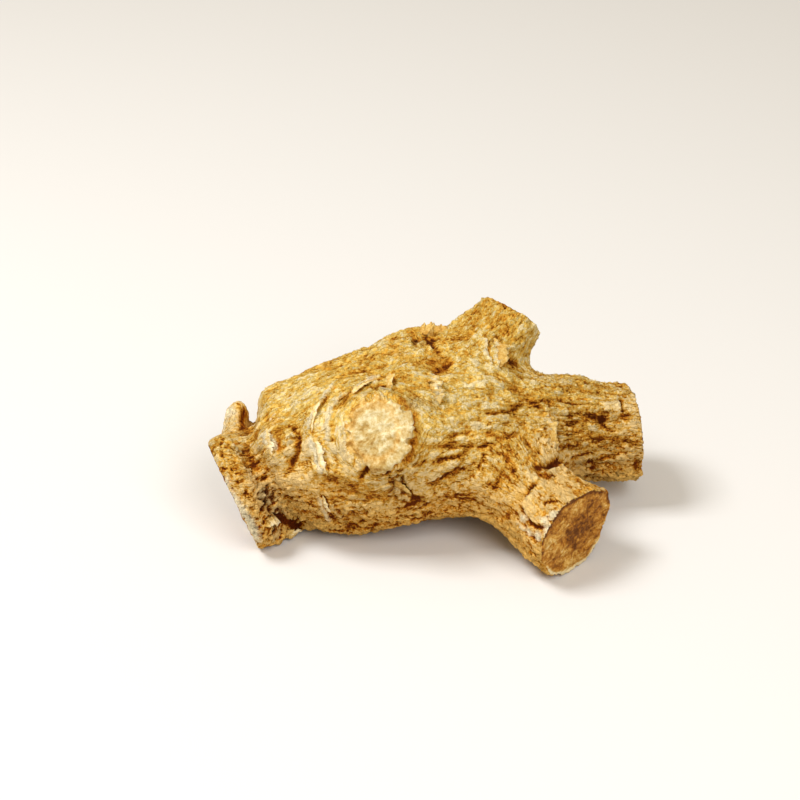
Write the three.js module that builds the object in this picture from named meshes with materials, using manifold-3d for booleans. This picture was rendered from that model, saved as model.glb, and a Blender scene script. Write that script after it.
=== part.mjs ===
// A dried ginseng root: one plump, short main root with its fine rootlets trimmed away.
// It lies on its side. +X runs from the crown to the cut tail and +Z is up, in millimetres.
// A stout leg points down at the front and rests on its cut end, and a second leg points up at the back.
// The crown is a flared stump of the stem, cut across, with a dried bud beside it.
//
// The root is one solid. Each limb is a chain of balls strung on a curve, the limbs are blended where
// they meet, and the blended surface carries the dried wrinkles. The knife cuts are then taken off flat.
import * as THREE from "three";
import { mergeVertices } from "three/addons/utils/BufferGeometryUtils.js";
import Module from "manifold-3d";

const wasm = await Module();
wasm.setup();

const vec = (x, y, z) => new THREE.Vector3(x, y, z);

// Limbs: [x, y, z, radius] along each centre line, in mm.
const MAIN_ROOT = [
  [-25.4, 12.4, 8.4, 4.2],
  [-21.4, 12.6, 10.2, 7.0],
  [-17.2, 12.4, 11.6, 9.6],
  [-13.5, 11.6, 12.5, 11.4],
  [-9.6, 11.1, 13.1, 12.7],
  [-5.0, 10.9, 13.8, 14.0],
  [0.6, 10.9, 14.1, 13.9],
  [7.5, 10.9, 13.7, 12.3],
  [14.8, 11.2, 13.1, 10.2],
  [23.2, 12.0, 12.1, 8.2],
  [31.2, 11.6, 11.0, 7.8],
  [40.0, 10.6, 10.1, 7.5],
];
const FRONT_LEG = [
  [6.0, 8.8, 13.2, 8.6],
  [13.0, 3.4, 10.6, 7.6],
  [17.9, -3.6, 8.4, 6.8],
  [21.9, -10.2, 6.9, 7.4],
  [24.7, -14.8, 5.9, 7.4],
];
const BACK_LEG = [
  [-0.3, 11.6, 14.4, 9.2],
  [7.5, 15.8, 19.0, 7.6],
  [13.8, 19.6, 22.9, 6.1],
  [19.5, 23.3, 26.4, 5.5],
  [23.6, 25.9, 29.0, 5.4],
];
const SHOULDER = [
  [-18.2, 15.0, 18.4, 3.8],
  [-13.0, 15.4, 20.6, 4.4],
];
const BUD = [
  [-26.6, 16.2, 11.6, 2.5],
  [-26.0, 18.2, 13.8, 2.4],
  [-25.6, 19.5, 15.3, 2.1],
];
const KNOB = [
  [-1.0, 16.0, 22.0, 5.0],
  [2.6, 19.2, 24.8, 3.4],
];
const NUB = [
  [4.2, 20.6, 23.8, 1.8],
  [6.6, 23.6, 24.8, 1.2],
];
const CROWN_FOOT = [
  [-26.4, 6.4, 3.2, 3.2],
  [-22.4, 7.0, 3.2, 3.3],
  [-18.4, 7.1, 2.9, 2.5],
];
const HEEL = [
  [20.6, -3.6, 5.2, 3.0],
  [27.0, -12.4, 3.6, 3.9],
];
const KEEL = [
  [1.0, 12.4, 4.2, 4.0],
  [9.5, 14.4, 4.3, 4.4],
];
const LOW_FOLD = [
  [-15.0, 6.7, 4.9, 2.8],
  [-9.4, 5.9, 3.7, 3.0],
];
const LIMB_STEPS = 28;

// The crown's flare, an ellipsoid: centre, half sizes, and the directions that they lie along.
const CROWN_CENTRE = vec(-26.6, 8.7, 8.2);
const CROWN_HALF = [5.2, 9.6, 7.4];
const CROWN_CUT_NORMAL = vec(-0.935, -0.12, -0.335).normalize();
const CROWN_LONG = vec(0.341, -0.558, -0.755);

// The flat on the front of the crown's foot: a point on it and the direction that it faces.
const FOOT_FLAT_AT = vec(-21.0, 4.3, 2.0);
const FOOT_FLAT_FACES = vec(0.25, -0.93, -0.27).normalize();

// The stump of a cut side root, a flat disc with a scalloped edge on the front of the main root.
const SCAR_CENTRE = vec(-6.5, -0.4, 22.8);
const SCAR_FACES = vec(-0.24, -0.76, 0.6).normalize();
const SCAR_HALF = [5.3, 5.9];
const SCAR_DEPTH = 3.4;
const SCAR_BEVEL = 0.35;
const SCAR_POINTS = 56;
// The scallops of its edge: [share of the radius, waves round the edge, phase].
const SCALLOPS = [[0.045, 5, 0.6], [0.03, 9, 2.0], [0.02, 14, 0.0]];

// Scars, folds and wrinkles on the front: the half width of each, how far it stands out or, below
// zero, sinks in, and its path.
const MARKS = [
  // The crease between the crown and the body.
  { width: 1.5, height: -2.6, path: [
    [-23.6, 17.6, 15.6], [-24.2, 14.6, 18.0], [-25.4, 11.6, 17.6], [-26.1, 9.0, 16.3],
    [-24.4, 5.3, 14.1], [-23.3, 3.8, 11.2], [-22.5, 2.9, 8.6], [-21.0, 3.4, 5.8],
    [-17.8, 4.9, 3.0],
  ] },
  // A torn lip of skin round the left of the stump, and the crack inside it.
  { width: 0.9, height: 0.8, path: [
    [-13.0, 7.4, 25.0], [-15.0, 6.8, 23.6], [-16.4, 4.6, 22.2], [-16.4, 2.9, 20.6],
    [-15.6, 0.6, 17.0],
  ] },
  { width: 0.8, height: -0.9, path: [
    [-11.9, 7.2, 25.3], [-13.8, 6.2, 24.2], [-15.0, 4.0, 22.4], [-15.0, 2.2, 20.4],
    [-14.4, 0.4, 17.0],
  ] },
  // An old bud scar on the shoulder.
  { width: 0.9, height: -1.0, path: [
    [-19.2, 9.9, 22.2], [-18.3, 7.2, 22.0], [-17.9, 4.8, 21.0], [-18.5, 3.3, 18.4],
    [-19.6, 2.3, 14.9],
  ] },
  { width: 1.8, height: 0.7, path: [[-21.0, 7.4, 20.6], [-20.6, 5.0, 19.4]] },
  { width: 0.9, height: -0.9, path: [
    [-23.2, 10.8, 19.4], [-21.4, 9.7, 20.8], [-19.4, 10.4, 22.2], [-17.6, 12.0, 23.0],
  ] },
  // A ring scar across the top, and the folds behind it.
  { width: 0.9, height: 0.7, path: [[3.0, 8.4, 27.2], [3.0, 5.2, 26.1], [2.8, 2.8, 24.8]] },
  { width: 0.8, height: -0.8, path: [[4.2, 7.6, 27.0], [4.1, 5.3, 26.0], [4.0, 3.0, 24.7]] },
  { width: 0.9, height: -0.8, path: [[3.6, 8.0, 27.2], [5.0, 9.6, 27.1], [6.6, 11.4, 27.2]] },
  // Pits and short grooves under the stump.
  { width: 1.1, height: -1.1, path: [[-4.4, -3.4, 15.8], [-3.4, -3.3, 14.1], [-2.4, -3.2, 12.4]] },
  { width: 0.9, height: -0.8, path: [[-8.8, -3.2, 18.0], [-10.0, -2.6, 15.6]] },
  // Long wrinkles that run into the tail and the front leg.
  { width: 0.9, height: -0.8, path: [
    [-1.4, -3.2, 19.6], [1.2, -2.4, 19.6], [4.3, -1.6, 19.4], [8.3, -1.2, 18.8],
    [12.4, -0.8, 19.1],
  ] },
  { width: 0.8, height: -0.7, path: [
    [9.2, 2.4, 22.8], [12.1, 2.8, 22.2], [14.9, 3.7, 21.5], [18.0, 6.4, 20.8],
  ] },
  { width: 0.9, height: -0.8, path: [[-0.6, -3.1, 13.8], [2.5, -2.8, 14.3], [5.9, -2.5, 14.9]] },
  { width: 0.8, height: -0.7, path: [[10.2, -5.0, 12.4], [11.5, -4.5, 14.1], [12.6, -4.0, 15.8]] },
  // Scars in the fork of the back leg and across the tail.
  { width: 0.9, height: 0.9, path: [
    [13.2, 16.0, 27.4], [14.4, 14.6, 26.8], [14.8, 12.8, 25.7], [14.2, 11.0, 24.8],
  ] },
  { width: 0.8, height: -0.9, path: [[14.6, 16.0, 27.2], [15.6, 14.4, 26.4], [15.9, 12.4, 25.2]] },
  { width: 0.8, height: 0.6, path: [[20.9, 6.6, 18.8], [21.2, 4.8, 17.2], [21.0, 3.4, 15.2]] },
  { width: 0.8, height: -0.8, path: [[22.2, 6.4, 18.8], [22.4, 5.0, 17.3], [22.2, 3.6, 15.3]] },
];

// Knife cuts: a point on each, the direction that it faces, and the width of the waste taken off.
const CUTS = [
  { at: vec(36.6, 10.8, 10.2), faces: vec(1.0, -0.02, 0.03), width: 26 },
  { at: vec(22.0, -10.3, 6.9), faces: vec(0.57, -0.81, -0.02), width: 20 },
  { at: vec(18.95, 23.5, 26.2), faces: vec(0.65, 0.5, 0.56), width: 18 },
  { at: vec(-28.3, 8.4, 7.9), faces: CROWN_CUT_NORMAL, width: 30 },
];
// The places that touch the table are worn flat at its height.
const TABLE = { at: vec(0, 0, 0), faces: vec(0, 0, -1), width: 200 };

// How softly the limbs run into each other, in mm.
const LEG_BLEND = 3.8;
const LUMP_BLEND = 2.2;
const BUD_BLEND = 1.6;

// Wrinkles: ridges round each limb, and how far ridges and slow lumps stand out, in mm.
const BODY_RIDGES = 13;
const LEG_RIDGES = 9;
const RIDGE_HEIGHT = 0.34;
const LUMP_HEIGHT = 0.55;

// Slow waves over a limb's skin: height, phase gained for each mm along the limb, waves round it,
// and starting phase. The sway and shake bend the ridges, in radians, and the fade thins them out.
const RIDGE_SWAY = { height: 1.3, pace: 0.21, round: 2, phase: 0 };
const RIDGE_SHAKE = { height: 0.8, pace: 0.47, round: -3, phase: 0 };
const RIDGE_FADE = { height: 0.3, pace: 0.33, round: 1, phase: 0 };
const LUMP_WAVES = [
  { height: 1.0, pace: 0.19, round: 2, phase: 1.1 },
  { height: 1.0, pace: 0.31, round: -1, phase: 0 },
];
const RIDGE_TWIST = 0.09;

// Side of the cube in which each surface point is found, in mm.
const CELL = 1.25;

// The box that the surface is looked for in: its lowest and highest corners, in mm.
const GRID_LOW = [-38, -26, -4];
const GRID_HIGH = [52, 38, 40];

// How far a pinched point is drawn back, as a share of the way to its neighbours' middle.
const PINCH_SHARE = 0.2;

// A limb as a list of balls along a smooth curve, with its straight axis and two directions across it.
function limb(rows, ridges = 0) {
  const curve = new THREE.CatmullRomCurve3(rows.map(([x, y, z]) => vec(x, y, z)));
  const balls = [];
  for (let i = 0; i <= LIMB_STEPS; i++) {
    const t = i / LIMB_STEPS;
    const row = Math.min(Math.floor(t * (rows.length - 1)), rows.length - 2);
    const share = t * (rows.length - 1) - row;
    const eased = share * share * (3 - 2 * share);
    const radius = THREE.MathUtils.lerp(rows[row][3], rows[row + 1][3], eased);
    balls.push({ place: curve.getPoint(t), radius });
  }
  const start = balls[0].place;
  const axis = balls[LIMB_STEPS].place.clone().sub(start).normalize();
  const side = new THREE.Vector3().crossVectors(vec(0, 0, 1), axis).normalize();
  const up = new THREE.Vector3().crossVectors(axis, side);
  for (const ball of balls) ball.along = ball.place.clone().sub(start).dot(axis);
  return { balls, ridges, start, axis, side, up };
}

// Signed distance to a limb.
function limbGap(shape, p) {
  let best = Infinity;
  for (let i = 1; i < shape.balls.length; i++) {
    const a = shape.balls[i - 1];
    const b = shape.balls[i];
    const ex = b.place.x - a.place.x;
    const ey = b.place.y - a.place.y;
    const ez = b.place.z - a.place.z;
    const dot = (p.x - a.place.x) * ex + (p.y - a.place.y) * ey + (p.z - a.place.z) * ez;
    const t = Math.min(1, Math.max(0, dot / (ex * ex + ey * ey + ez * ez)));
    const gap = Math.hypot(p.x - a.place.x - t * ex, p.y - a.place.y - t * ey, p.z - a.place.z - t * ez);
    best = Math.min(best, gap - a.radius - t * (b.radius - a.radius));
  }
  return best;
}

// The smaller of two distances, rounded off where they are within k of each other.
function blend(a, b, k) {
  const h = Math.max(k - Math.abs(a - b), 0) / k;
  return Math.min(a, b) - (h * h * k) / 4;
}

// Height of a limb's dried skin: ridges along it that wander round it, over slow lumps.
function skin({ balls, ridges, start, axis, side, up }, p) {
  const along = THREE.MathUtils.clamp(p.clone().sub(start).dot(axis), 0, balls[LIMB_STEPS].along);
  const i = Math.max(1, balls.findIndex((ball) => ball.along >= along));
  const share = (along - balls[i - 1].along) / (balls[i].along - balls[i - 1].along);
  const out = p.clone().sub(balls[i - 1].place.clone().lerp(balls[i].place, share));
  const angle = Math.atan2(out.dot(up), out.dot(side));
  const wave = ({ height, pace, round, phase }) => height * Math.sin(pace * along + round * angle + phase);
  const bend = wave(RIDGE_SWAY) + wave(RIDGE_SHAKE) + RIDGE_TWIST * along;
  const ridge = Math.sin(ridges * angle + bend) * (1 - RIDGE_FADE.height + wave(RIDGE_FADE));
  const lump = wave(LUMP_WAVES[0]) * wave(LUMP_WAVES[1]);
  return RIDGE_HEIGHT * ridge + LUMP_HEIGHT * lump;
}

// Height of the marks: each is a bell-shaped ridge or groove about its path.
const markPaths = MARKS.map(({ path, width, height }) => {
  const points = path.map((p) => vec(...p));
  const ball = new THREE.Sphere().setFromPoints(points);
  const lines = points.slice(1).map((p, i) => new THREE.Line3(points[i], p));
  return { ball, lines, width, height };
});
function marks(p) {
  const foot = vec(0, 0, 0);
  let sum = 0;
  for (const { ball, lines, width, height } of markPaths) {
    if (ball.distanceToPoint(p) > 3 * width) continue;
    const gap = Math.min(...lines.map((line) => line.closestPointToPoint(p, true, foot).distanceTo(p)));
    sum += height * Math.exp(-((gap / width) ** 2));
  }
  return sum;
}

const mainRoot = limb(MAIN_ROOT, BODY_RIDGES);
const legs = [limb(FRONT_LEG, LEG_RIDGES), limb(BACK_LEG, LEG_RIDGES)];
const bud = limb(BUD);
const nub = limb(NUB);
const crownFoot = limb(CROWN_FOOT);
const lumps = [KNOB, SHOULDER, HEEL, KEEL, LOW_FOLD].map((rows) => limb(rows));
const crownSide = new THREE.Vector3().crossVectors(CROWN_CUT_NORMAL, CROWN_LONG).normalize();
const crownLong = new THREE.Vector3().crossVectors(crownSide, CROWN_CUT_NORMAL).normalize();

// Signed distance to the crown's ellipsoid, to first order.
function crownGap(p) {
  const d = p.clone().sub(CROWN_CENTRE);
  const q = [d.dot(CROWN_CUT_NORMAL), d.dot(crownLong), d.dot(crownSide)];
  const k0 = Math.hypot(...q.map((x, i) => x / CROWN_HALF[i]));
  const k1 = Math.hypot(...q.map((x, i) => x / CROWN_HALF[i] ** 2));
  return (k0 * (k0 - 1)) / Math.max(k1, 1e-6);
}

// The whole root: below zero inside, above zero outside.
function field(p) {
  let gap = limbGap(mainRoot, p) - skin(mainRoot, p);
  for (const leg of legs) gap = blend(gap, limbGap(leg, p) - skin(leg, p), LEG_BLEND);
  for (const lump of lumps) gap = blend(gap, limbGap(lump, p), LUMP_BLEND);
  gap = blend(gap, limbGap(nub, p), BUD_BLEND);
  gap = blend(gap, crownGap(p), LUMP_BLEND);
  const footFlat = p.clone().sub(FOOT_FLAT_AT).dot(FOOT_FLAT_FACES);
  gap = blend(gap, Math.max(limbGap(crownFoot, p), footFlat), LUMP_BLEND);
  gap = blend(gap, limbGap(bud, p), BUD_BLEND);
  return gap - marks(p);
}

// The surface where the field is zero: one point in each grid cell that it passes through, and a
// square of such points round each grid edge that it crosses, cut into two triangles.
function surface(low, high) {
  const count = [0, 1, 2].map((i) => Math.ceil((high[i] - low[i]) / CELL) + 1);
  const at = (i, j, k) => (k * count[1] + j) * count[0] + i;
  const values = new Float32Array(count[0] * count[1] * count[2]);
  const corner = (i, j, k) => vec(low[0] + i * CELL, low[1] + j * CELL, low[2] + k * CELL);
  for (let k = 0; k < count[2]; k++)
    for (let j = 0; j < count[1]; j++)
      for (let i = 0; i < count[0]; i++) values[at(i, j, k)] = field(corner(i, j, k));

  const points = [];
  const cellPoint = new Map();
  const ends = [];
  for (const [di, dj, dk] of [[1, 0, 0], [0, 1, 0], [0, 0, 1]])
    for (const a of [0, 1])
      for (const b of [0, 1]) {
        const start = di ? [0, a, b] : dj ? [a, 0, b] : [a, b, 0];
        ends.push([start, [start[0] + di, start[1] + dj, start[2] + dk]]);
      }
  for (let k = 0; k < count[2] - 1; k++)
    for (let j = 0; j < count[1] - 1; j++)
      for (let i = 0; i < count[0] - 1; i++) {
        const sum = vec(0, 0, 0);
        let crossings = 0;
        for (const [s, e] of ends) {
          const vs = values[at(i + s[0], j + s[1], k + s[2])];
          const ve = values[at(i + e[0], j + e[1], k + e[2])];
          if (vs < 0 === ve < 0) continue;
          const a = corner(i + s[0], j + s[1], k + s[2]);
          sum.add(a.lerp(corner(i + e[0], j + e[1], k + e[2]), vs / (vs - ve)));
          crossings++;
        }
        if (!crossings) continue;
        cellPoint.set(at(i, j, k), points.length);
        points.push(settled(sum.divideScalar(crossings), corner(i, j, k)));
      }

  const faces = [];
  const square = (a, b, c, d, flip) => {
    const [q0, q1, q2, q3] = (flip ? [d, c, b, a] : [a, b, c, d]).map((n) => cellPoint.get(n));
    const short = points[q0].distanceTo(points[q2]) < points[q1].distanceTo(points[q3]);
    faces.push(...(short ? [q0, q1, q2, q0, q2, q3] : [q0, q1, q3, q1, q2, q3]));
  };
  for (let k = 1; k < count[2] - 1; k++)
    for (let j = 1; j < count[1] - 1; j++)
      for (let i = 1; i < count[0] - 1; i++) {
        const inside = values[at(i, j, k)] < 0;
        if (inside !== values[at(i + 1, j, k)] < 0)
          square(at(i, j - 1, k - 1), at(i, j, k - 1), at(i, j, k), at(i, j - 1, k), !inside);
        if (inside !== values[at(i, j + 1, k)] < 0)
          square(at(i - 1, j, k - 1), at(i - 1, j, k), at(i, j, k), at(i, j, k - 1), !inside);
        if (inside !== values[at(i, j, k + 1)] < 0)
          square(at(i - 1, j - 1, k), at(i, j - 1, k), at(i, j, k), at(i - 1, j, k), !inside);
      }
  const vertProperties = new Float32Array(points.flatMap((p) => [p.x, p.y, p.z]));
  const triVerts = new Uint32Array(faces);
  return new wasm.Manifold(new wasm.Mesh({ numProp: 3, vertProperties, triVerts }));
}

// A point moved down the field's slope onto the surface, kept inside its own grid cell.
function settled(start, low) {
  const step = 0.05;
  const margin = 0.03 * CELL;
  const least = low.clone().addScalar(margin);
  const most = low.clone().addScalar(CELL - margin);
  const p = start.clone();
  for (let n = 0; n < 2; n++) {
    const value = field(p);
    const slope = vec(
      field(vec(p.x + step, p.y, p.z)) - value,
      field(vec(p.x, p.y + step, p.z)) - value,
      field(vec(p.x, p.y, p.z + step)) - value,
    ).divideScalar(step);
    p.addScaledVector(slope, -value / Math.max(slope.lengthSq(), 0.3)).clamp(least, most);
  }
  return p;
}

// A closed three.js geometry as a solid, for cutting.
function solid(geometry) {
  const bare = geometry.clone();
  bare.deleteAttribute("normal");
  bare.deleteAttribute("uv");
  const merged = mergeVertices(bare);
  const vertProperties = new Float32Array(merged.attributes.position.array);
  const triVerts = new Uint32Array(merged.index.array);
  return new wasm.Manifold(new wasm.Mesh({ numProp: 3, vertProperties, triVerts }));
}

// A block whose near face passes through a point and that fills the side the cut faces.
function waste({ at, faces, width }) {
  const block = new THREE.BoxGeometry(width, width, width).translate(0, 0, width / 2);
  const turn = new THREE.Quaternion().setFromUnitVectors(vec(0, 0, 1), faces.clone().normalize());
  return solid(block.applyQuaternion(turn).translate(at.x, at.y, at.z));
}

// The stump as a solid: a scalloped disc, sunk into the root and facing out of it.
function stump() {
  const rim = [];
  for (let i = 0; i < SCAR_POINTS; i++) {
    const angle = (2 * Math.PI * i) / SCAR_POINTS;
    const swell = ([share, waves, phase]) => share * Math.sin(waves * angle + phase);
    const reach = SCALLOPS.reduce((sum, wave) => sum + swell(wave), 1);
    const point = new THREE.Vector2(SCAR_HALF[0] * Math.cos(angle), SCAR_HALF[1] * Math.sin(angle));
    rim.push(point.multiplyScalar(reach));
  }
  const disc = new THREE.ExtrudeGeometry(new THREE.Shape(rim), {
    depth: SCAR_DEPTH,
    bevelThickness: SCAR_BEVEL,
    bevelSize: SCAR_BEVEL,
    bevelOffset: -SCAR_BEVEL,
    bevelSegments: 1,
  }).translate(0, 0, -SCAR_DEPTH);
  const turn = new THREE.Quaternion().setFromUnitVectors(vec(0, 0, 1), SCAR_FACES);
  return solid(disc.applyQuaternion(turn).translate(SCAR_CENTRE.x, SCAR_CENTRE.y, SCAR_CENTRE.z));
}

let root = surface(GRID_LOW, GRID_HIGH).add(stump());
for (const cut of [...CUTS, TABLE]) root = root.subtract(waste(cut));

// Where two folds of the skin meet in a single point, each is drawn back towards its own neighbours.
function parted({ vertProperties, triVerts }) {
  const points = [];
  for (let i = 0; i < vertProperties.length; i += 3) points.push(vec(...vertProperties.slice(i, i + 3)));
  const shared = new Map();
  points.forEach((p, i) => {
    const key = p.toArray().map((x) => x.toFixed(3)).join();
    shared.set(key, [...(shared.get(key) ?? []), i]);
  });
  const pinched = new Map();
  for (const group of shared.values()) {
    if (group.length === 1) continue;
    for (const i of group) pinched.set(i, new THREE.Box3());
  }
  for (let i = 0; i < triVerts.length; i += 3) {
    const corners = [...triVerts.slice(i, i + 3)];
    for (const a of corners) {
      const others = corners.filter((b) => b !== a);
      others.forEach((b) => pinched.get(a)?.expandByPoint(points[b]));
    }
  }
  const drawn = new Float32Array(vertProperties);
  for (const [i, near] of pinched) {
    const inside = points[i].clone().lerp(near.getCenter(vec(0, 0, 0)), PINCH_SHARE);
    inside.toArray(drawn, 3 * i);
  }
  return { vertProperties: drawn, triVerts };
}

const made = parted(root.getMesh());
const geometry = new THREE.BufferGeometry();
geometry.setAttribute("position", new THREE.BufferAttribute(made.vertProperties, 3));
geometry.setIndex(new THREE.BufferAttribute(made.triVerts, 1));
geometry.computeVertexNormals();

// The frame's origin is the bottom centre of the bounding box.
geometry.computeBoundingBox();
const middle = geometry.boundingBox.getCenter(vec(0, 0, 0));
geometry.translate(-middle.x, -middle.y, -geometry.boundingBox.min.z);

const driedRoot = new THREE.MeshStandardMaterial({ color: 0xcfa25c, roughness: 0.86, metalness: 0 });
const mesh = new THREE.Mesh(geometry, driedRoot);
mesh.name = "ginseng_root";

const part = new THREE.Group();
part.add(mesh);
export default part;
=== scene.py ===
"""A dried ginseng root, dressed over its solid model.

The solid gives the form. Here its surface gets the fine forms of a real dried root, which are folds
that follow the limbs, creases between them, torn lips of skin, pits and the fibres of the cut faces.
All sizes are in millimetres unless a name says otherwise, and the scene itself is in metres.
"""

from types import SimpleNamespace

import bmesh
import bpy
import numpy as np
from mathutils import Matrix, Vector


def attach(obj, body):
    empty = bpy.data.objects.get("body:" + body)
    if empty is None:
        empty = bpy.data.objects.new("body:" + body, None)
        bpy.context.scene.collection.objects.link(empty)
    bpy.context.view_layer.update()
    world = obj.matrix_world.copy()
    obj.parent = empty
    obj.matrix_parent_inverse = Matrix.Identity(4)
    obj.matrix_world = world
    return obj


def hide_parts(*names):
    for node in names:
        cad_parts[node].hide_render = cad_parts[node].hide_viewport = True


bl_info = {
    "name": "Dried ginseng root",
    "version": (1, 0, 0),
    "blender": (4, 5, 0),
    "location": "View3D > Sidebar > Root",
    "description": "Builds a wrinkled dried root with cut faces, torn skin and a studio stage",
    "category": "Add Mesh",
}

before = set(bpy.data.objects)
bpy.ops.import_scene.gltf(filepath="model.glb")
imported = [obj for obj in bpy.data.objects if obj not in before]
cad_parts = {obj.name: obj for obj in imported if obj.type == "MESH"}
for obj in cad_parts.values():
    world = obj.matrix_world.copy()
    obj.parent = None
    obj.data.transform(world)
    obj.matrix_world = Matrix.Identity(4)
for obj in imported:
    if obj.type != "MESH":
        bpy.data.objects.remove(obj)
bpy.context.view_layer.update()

MM = 0.001
NODE = "ginseng_root"
BODY = "root"

# The limbs are measured from a point that lies this far from the row's origin.
MEASURED_FROM = np.array([-2.744, -6.371, 0.0])

# Limbs: x, y, z and radius along each centre line.
MAIN_ROOT = [
    (-25.4, 12.4, 8.4, 4.2), (-21.4, 12.6, 10.2, 7.0), (-17.2, 12.4, 11.6, 9.6),
    (-13.5, 11.6, 12.5, 11.4), (-9.6, 11.1, 13.1, 12.7), (-5.0, 10.9, 13.8, 14.0),
    (0.6, 10.9, 14.1, 13.9), (7.5, 10.9, 13.7, 12.3), (14.8, 11.2, 13.1, 10.2),
    (23.2, 12.0, 12.1, 8.2), (31.2, 11.6, 11.0, 7.8), (40.0, 10.6, 10.1, 7.5),
]
FRONT_LEG = [
    (6.0, 8.8, 13.2, 8.6), (13.0, 3.4, 10.6, 7.6), (17.9, -3.6, 8.4, 6.8),
    (21.9, -10.2, 6.9, 7.4), (24.7, -14.8, 5.9, 7.4),
]
BACK_LEG = [
    (-0.3, 11.6, 14.4, 9.2), (7.5, 15.8, 19.0, 7.6), (13.8, 19.6, 22.9, 6.1),
    (19.5, 23.3, 26.4, 5.5), (23.6, 25.9, 29.0, 5.4),
]
# The name that each limb's places are kept under, its rows, and the radius that patterns wrap round.
LIMBS = (
    ("flow_body", MAIN_ROOT, 11.0),
    ("flow_front", FRONT_LEG, 7.0),
    ("flow_back", BACK_LEG, 5.8),
)
# Where limbs meet, their patterns are mixed over about this distance outside each.
LIMBS_MIX_OVER = 1.3
# Forms that follow the limbs: their length, their width and the seed of their noise.
BULGES = (10.0, 3.6, 11)
GROOVES = (9.0, 2.4, 111)
WRINKLES = (3.4, 1.35, 211)
FINE_WRINKLES = (1.3, 0.62, 411)
FINE_HEIGHT = 0.26

# Knife cuts: a point on each, the direction that it faces, and the reach of the cut face.
TAIL_CUT = ((36.6, 10.8, 10.2), (1.0, -0.02, 0.03), 9.0)
FRONT_CUT = ((22.0, -10.3, 6.9), (0.57, -0.81, -0.02), 9.5)
BACK_CUT = ((18.95, 23.5, 26.2), (0.65, 0.5, 0.56), 8.0)
CROWN_CUT = ((-28.3, 8.4, 7.9), (-0.935, -0.12, -0.335), 13.0)
CUTS = [TAIL_CUT, FRONT_CUT, BACK_CUT, CROWN_CUT]

# The stump of the cut side root: centre, the direction that it faces, and half sizes across and up.
STUMP_CENTRE = (-6.5, -0.4, 22.8)
STUMP_FACES = (-0.24, -0.76, 0.6)
STUMP_HALF = (5.3, 5.9)
STUMP_REACH = 6.4

# Torn lips of skin: path, rise of the lip, depth of the crack behind it, which also sets the painted shade
# in the crack, width, and how white it is.
# Each path runs up the lip's outer edge, so the lip lies on its left and the crack on its right.
LIPS = [
    ([(-16.5, 3.0, 21.4), (-16.3, 4.2, 22.2), (-15.6, 5.4, 23.7), (-14.1, 6.6, 24.9),
      (-12.6, 7.7, 25.9), (-11.1, 9.8, 26.4)],
     0.45, 0.35, 0.55, 0.8),
    ([(-14.7, -0.5, 16.0), (-15.6, 0.7, 18.0), (-16.1, 1.8, 19.8), (-16.4, 3.0, 21.4)],
     0.6, 0.35, 0.9, 1.0),
    ([(-13.6, 0.7, 20.3), (-13.6, 3.0, 22.7), (-12.6, 5.2, 24.8), (-10.9, 6.0, 25.6), (-9.3, 6.2, 26.1)],
     0.5, 0.3, 0.9, 0.6),
    ([(-9.6, 6.1, 26.0), (-7.7, 7.2, 26.8), (-6.1, 8.1, 27.1), (-4.3, 8.4, 27.4)], 0.45, 0.3, 0.7, 0.8),
    ([(-3.4, 5.2, 26.7), (-5.4, 5.9, 26.8), (-7.6, 5.9, 26.4)], 0.3, 0.5, 0.7, 0.1),
    ([(-3.6, 4.8, 26.5), (-3.2, 6.8, 27.4), (-3.8, 8.4, 27.4)], 0.5, 0.4, 0.5, 0.3),
    ([(3.4, 2.9, 24.4), (3.4, 5.1, 26.1), (3.2, 7.9, 27.1)], 0.7, 0.6, 0.7, 0.75),
    ([(14.2, 10.4, 25.4), (15.0, 12.2, 25.9), (15.3, 14.1, 26.2), (14.6, 16.3, 27.1)],
     0.6, 0.8, 0.65, 0.75),
    ([(13.5, 10.6, 25.6), (13.0, 13.1, 26.8), (13.3, 15.6, 27.8)], 0.5, 0.4, 0.55, 0.8),
    ([(21.5, 1.3, 14.9), (21.4, 3.3, 17.1), (21.4, 5.5, 19.1)], 0.6, 0.7, 0.65, 0.5),
    ([(33.1, 6.6, 17.4), (33.2, 7.9, 17.8), (33.2, 9.4, 18.4)], 0.4, 0.6, 0.5, 0.4),
    ([(-13.7, 2.1, 4.8), (-14.3, 0.6, 7.9), (-15.2, -0.4, 10.5), (-15.6, 0.0, 12.4)],
     0.5, 0.35, 0.8, 0.7),
    ([(-11.6, 1.5, 5.4), (-13.2, -0.2, 8.7), (-13.8, -0.7, 11.4)], 0.35, 0.3, 0.6, 0.4),
    ([(-2.2, -2.7, 11.8), (-3.2, -2.9, 13.8), (-4.6, -2.9, 15.6)], 0.4, 0.5, 0.6, 0.3),
    ([(14.3, -7.5, 12.7), (14.2, -9.3, 11.7), (15.0, -11.6, 11.3), (16.6, -13.3, 11.7)],
     0.5, 0.5, 0.7, 0.3),
    ([(17.5, -6.1, 14.6), (15.7, -6.9, 13.5), (14.6, -7.7, 12.7)], 0.5, 0.5, 0.6, 0.1),
    ([(16.6, -11.3, 12.5), (17.2, -9.4, 13.4), (18.7, -10.2, 14.1), (20.0, -11.6, 13.9)],
     0.35, 0.4, 0.5, 0.3),
    ([(13.0, -8.4, 9.4), (13.9, -10.6, 9.2), (15.2, -13.0, 9.8)], 0.4, 0.2, 0.6, 0.7),
]

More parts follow.
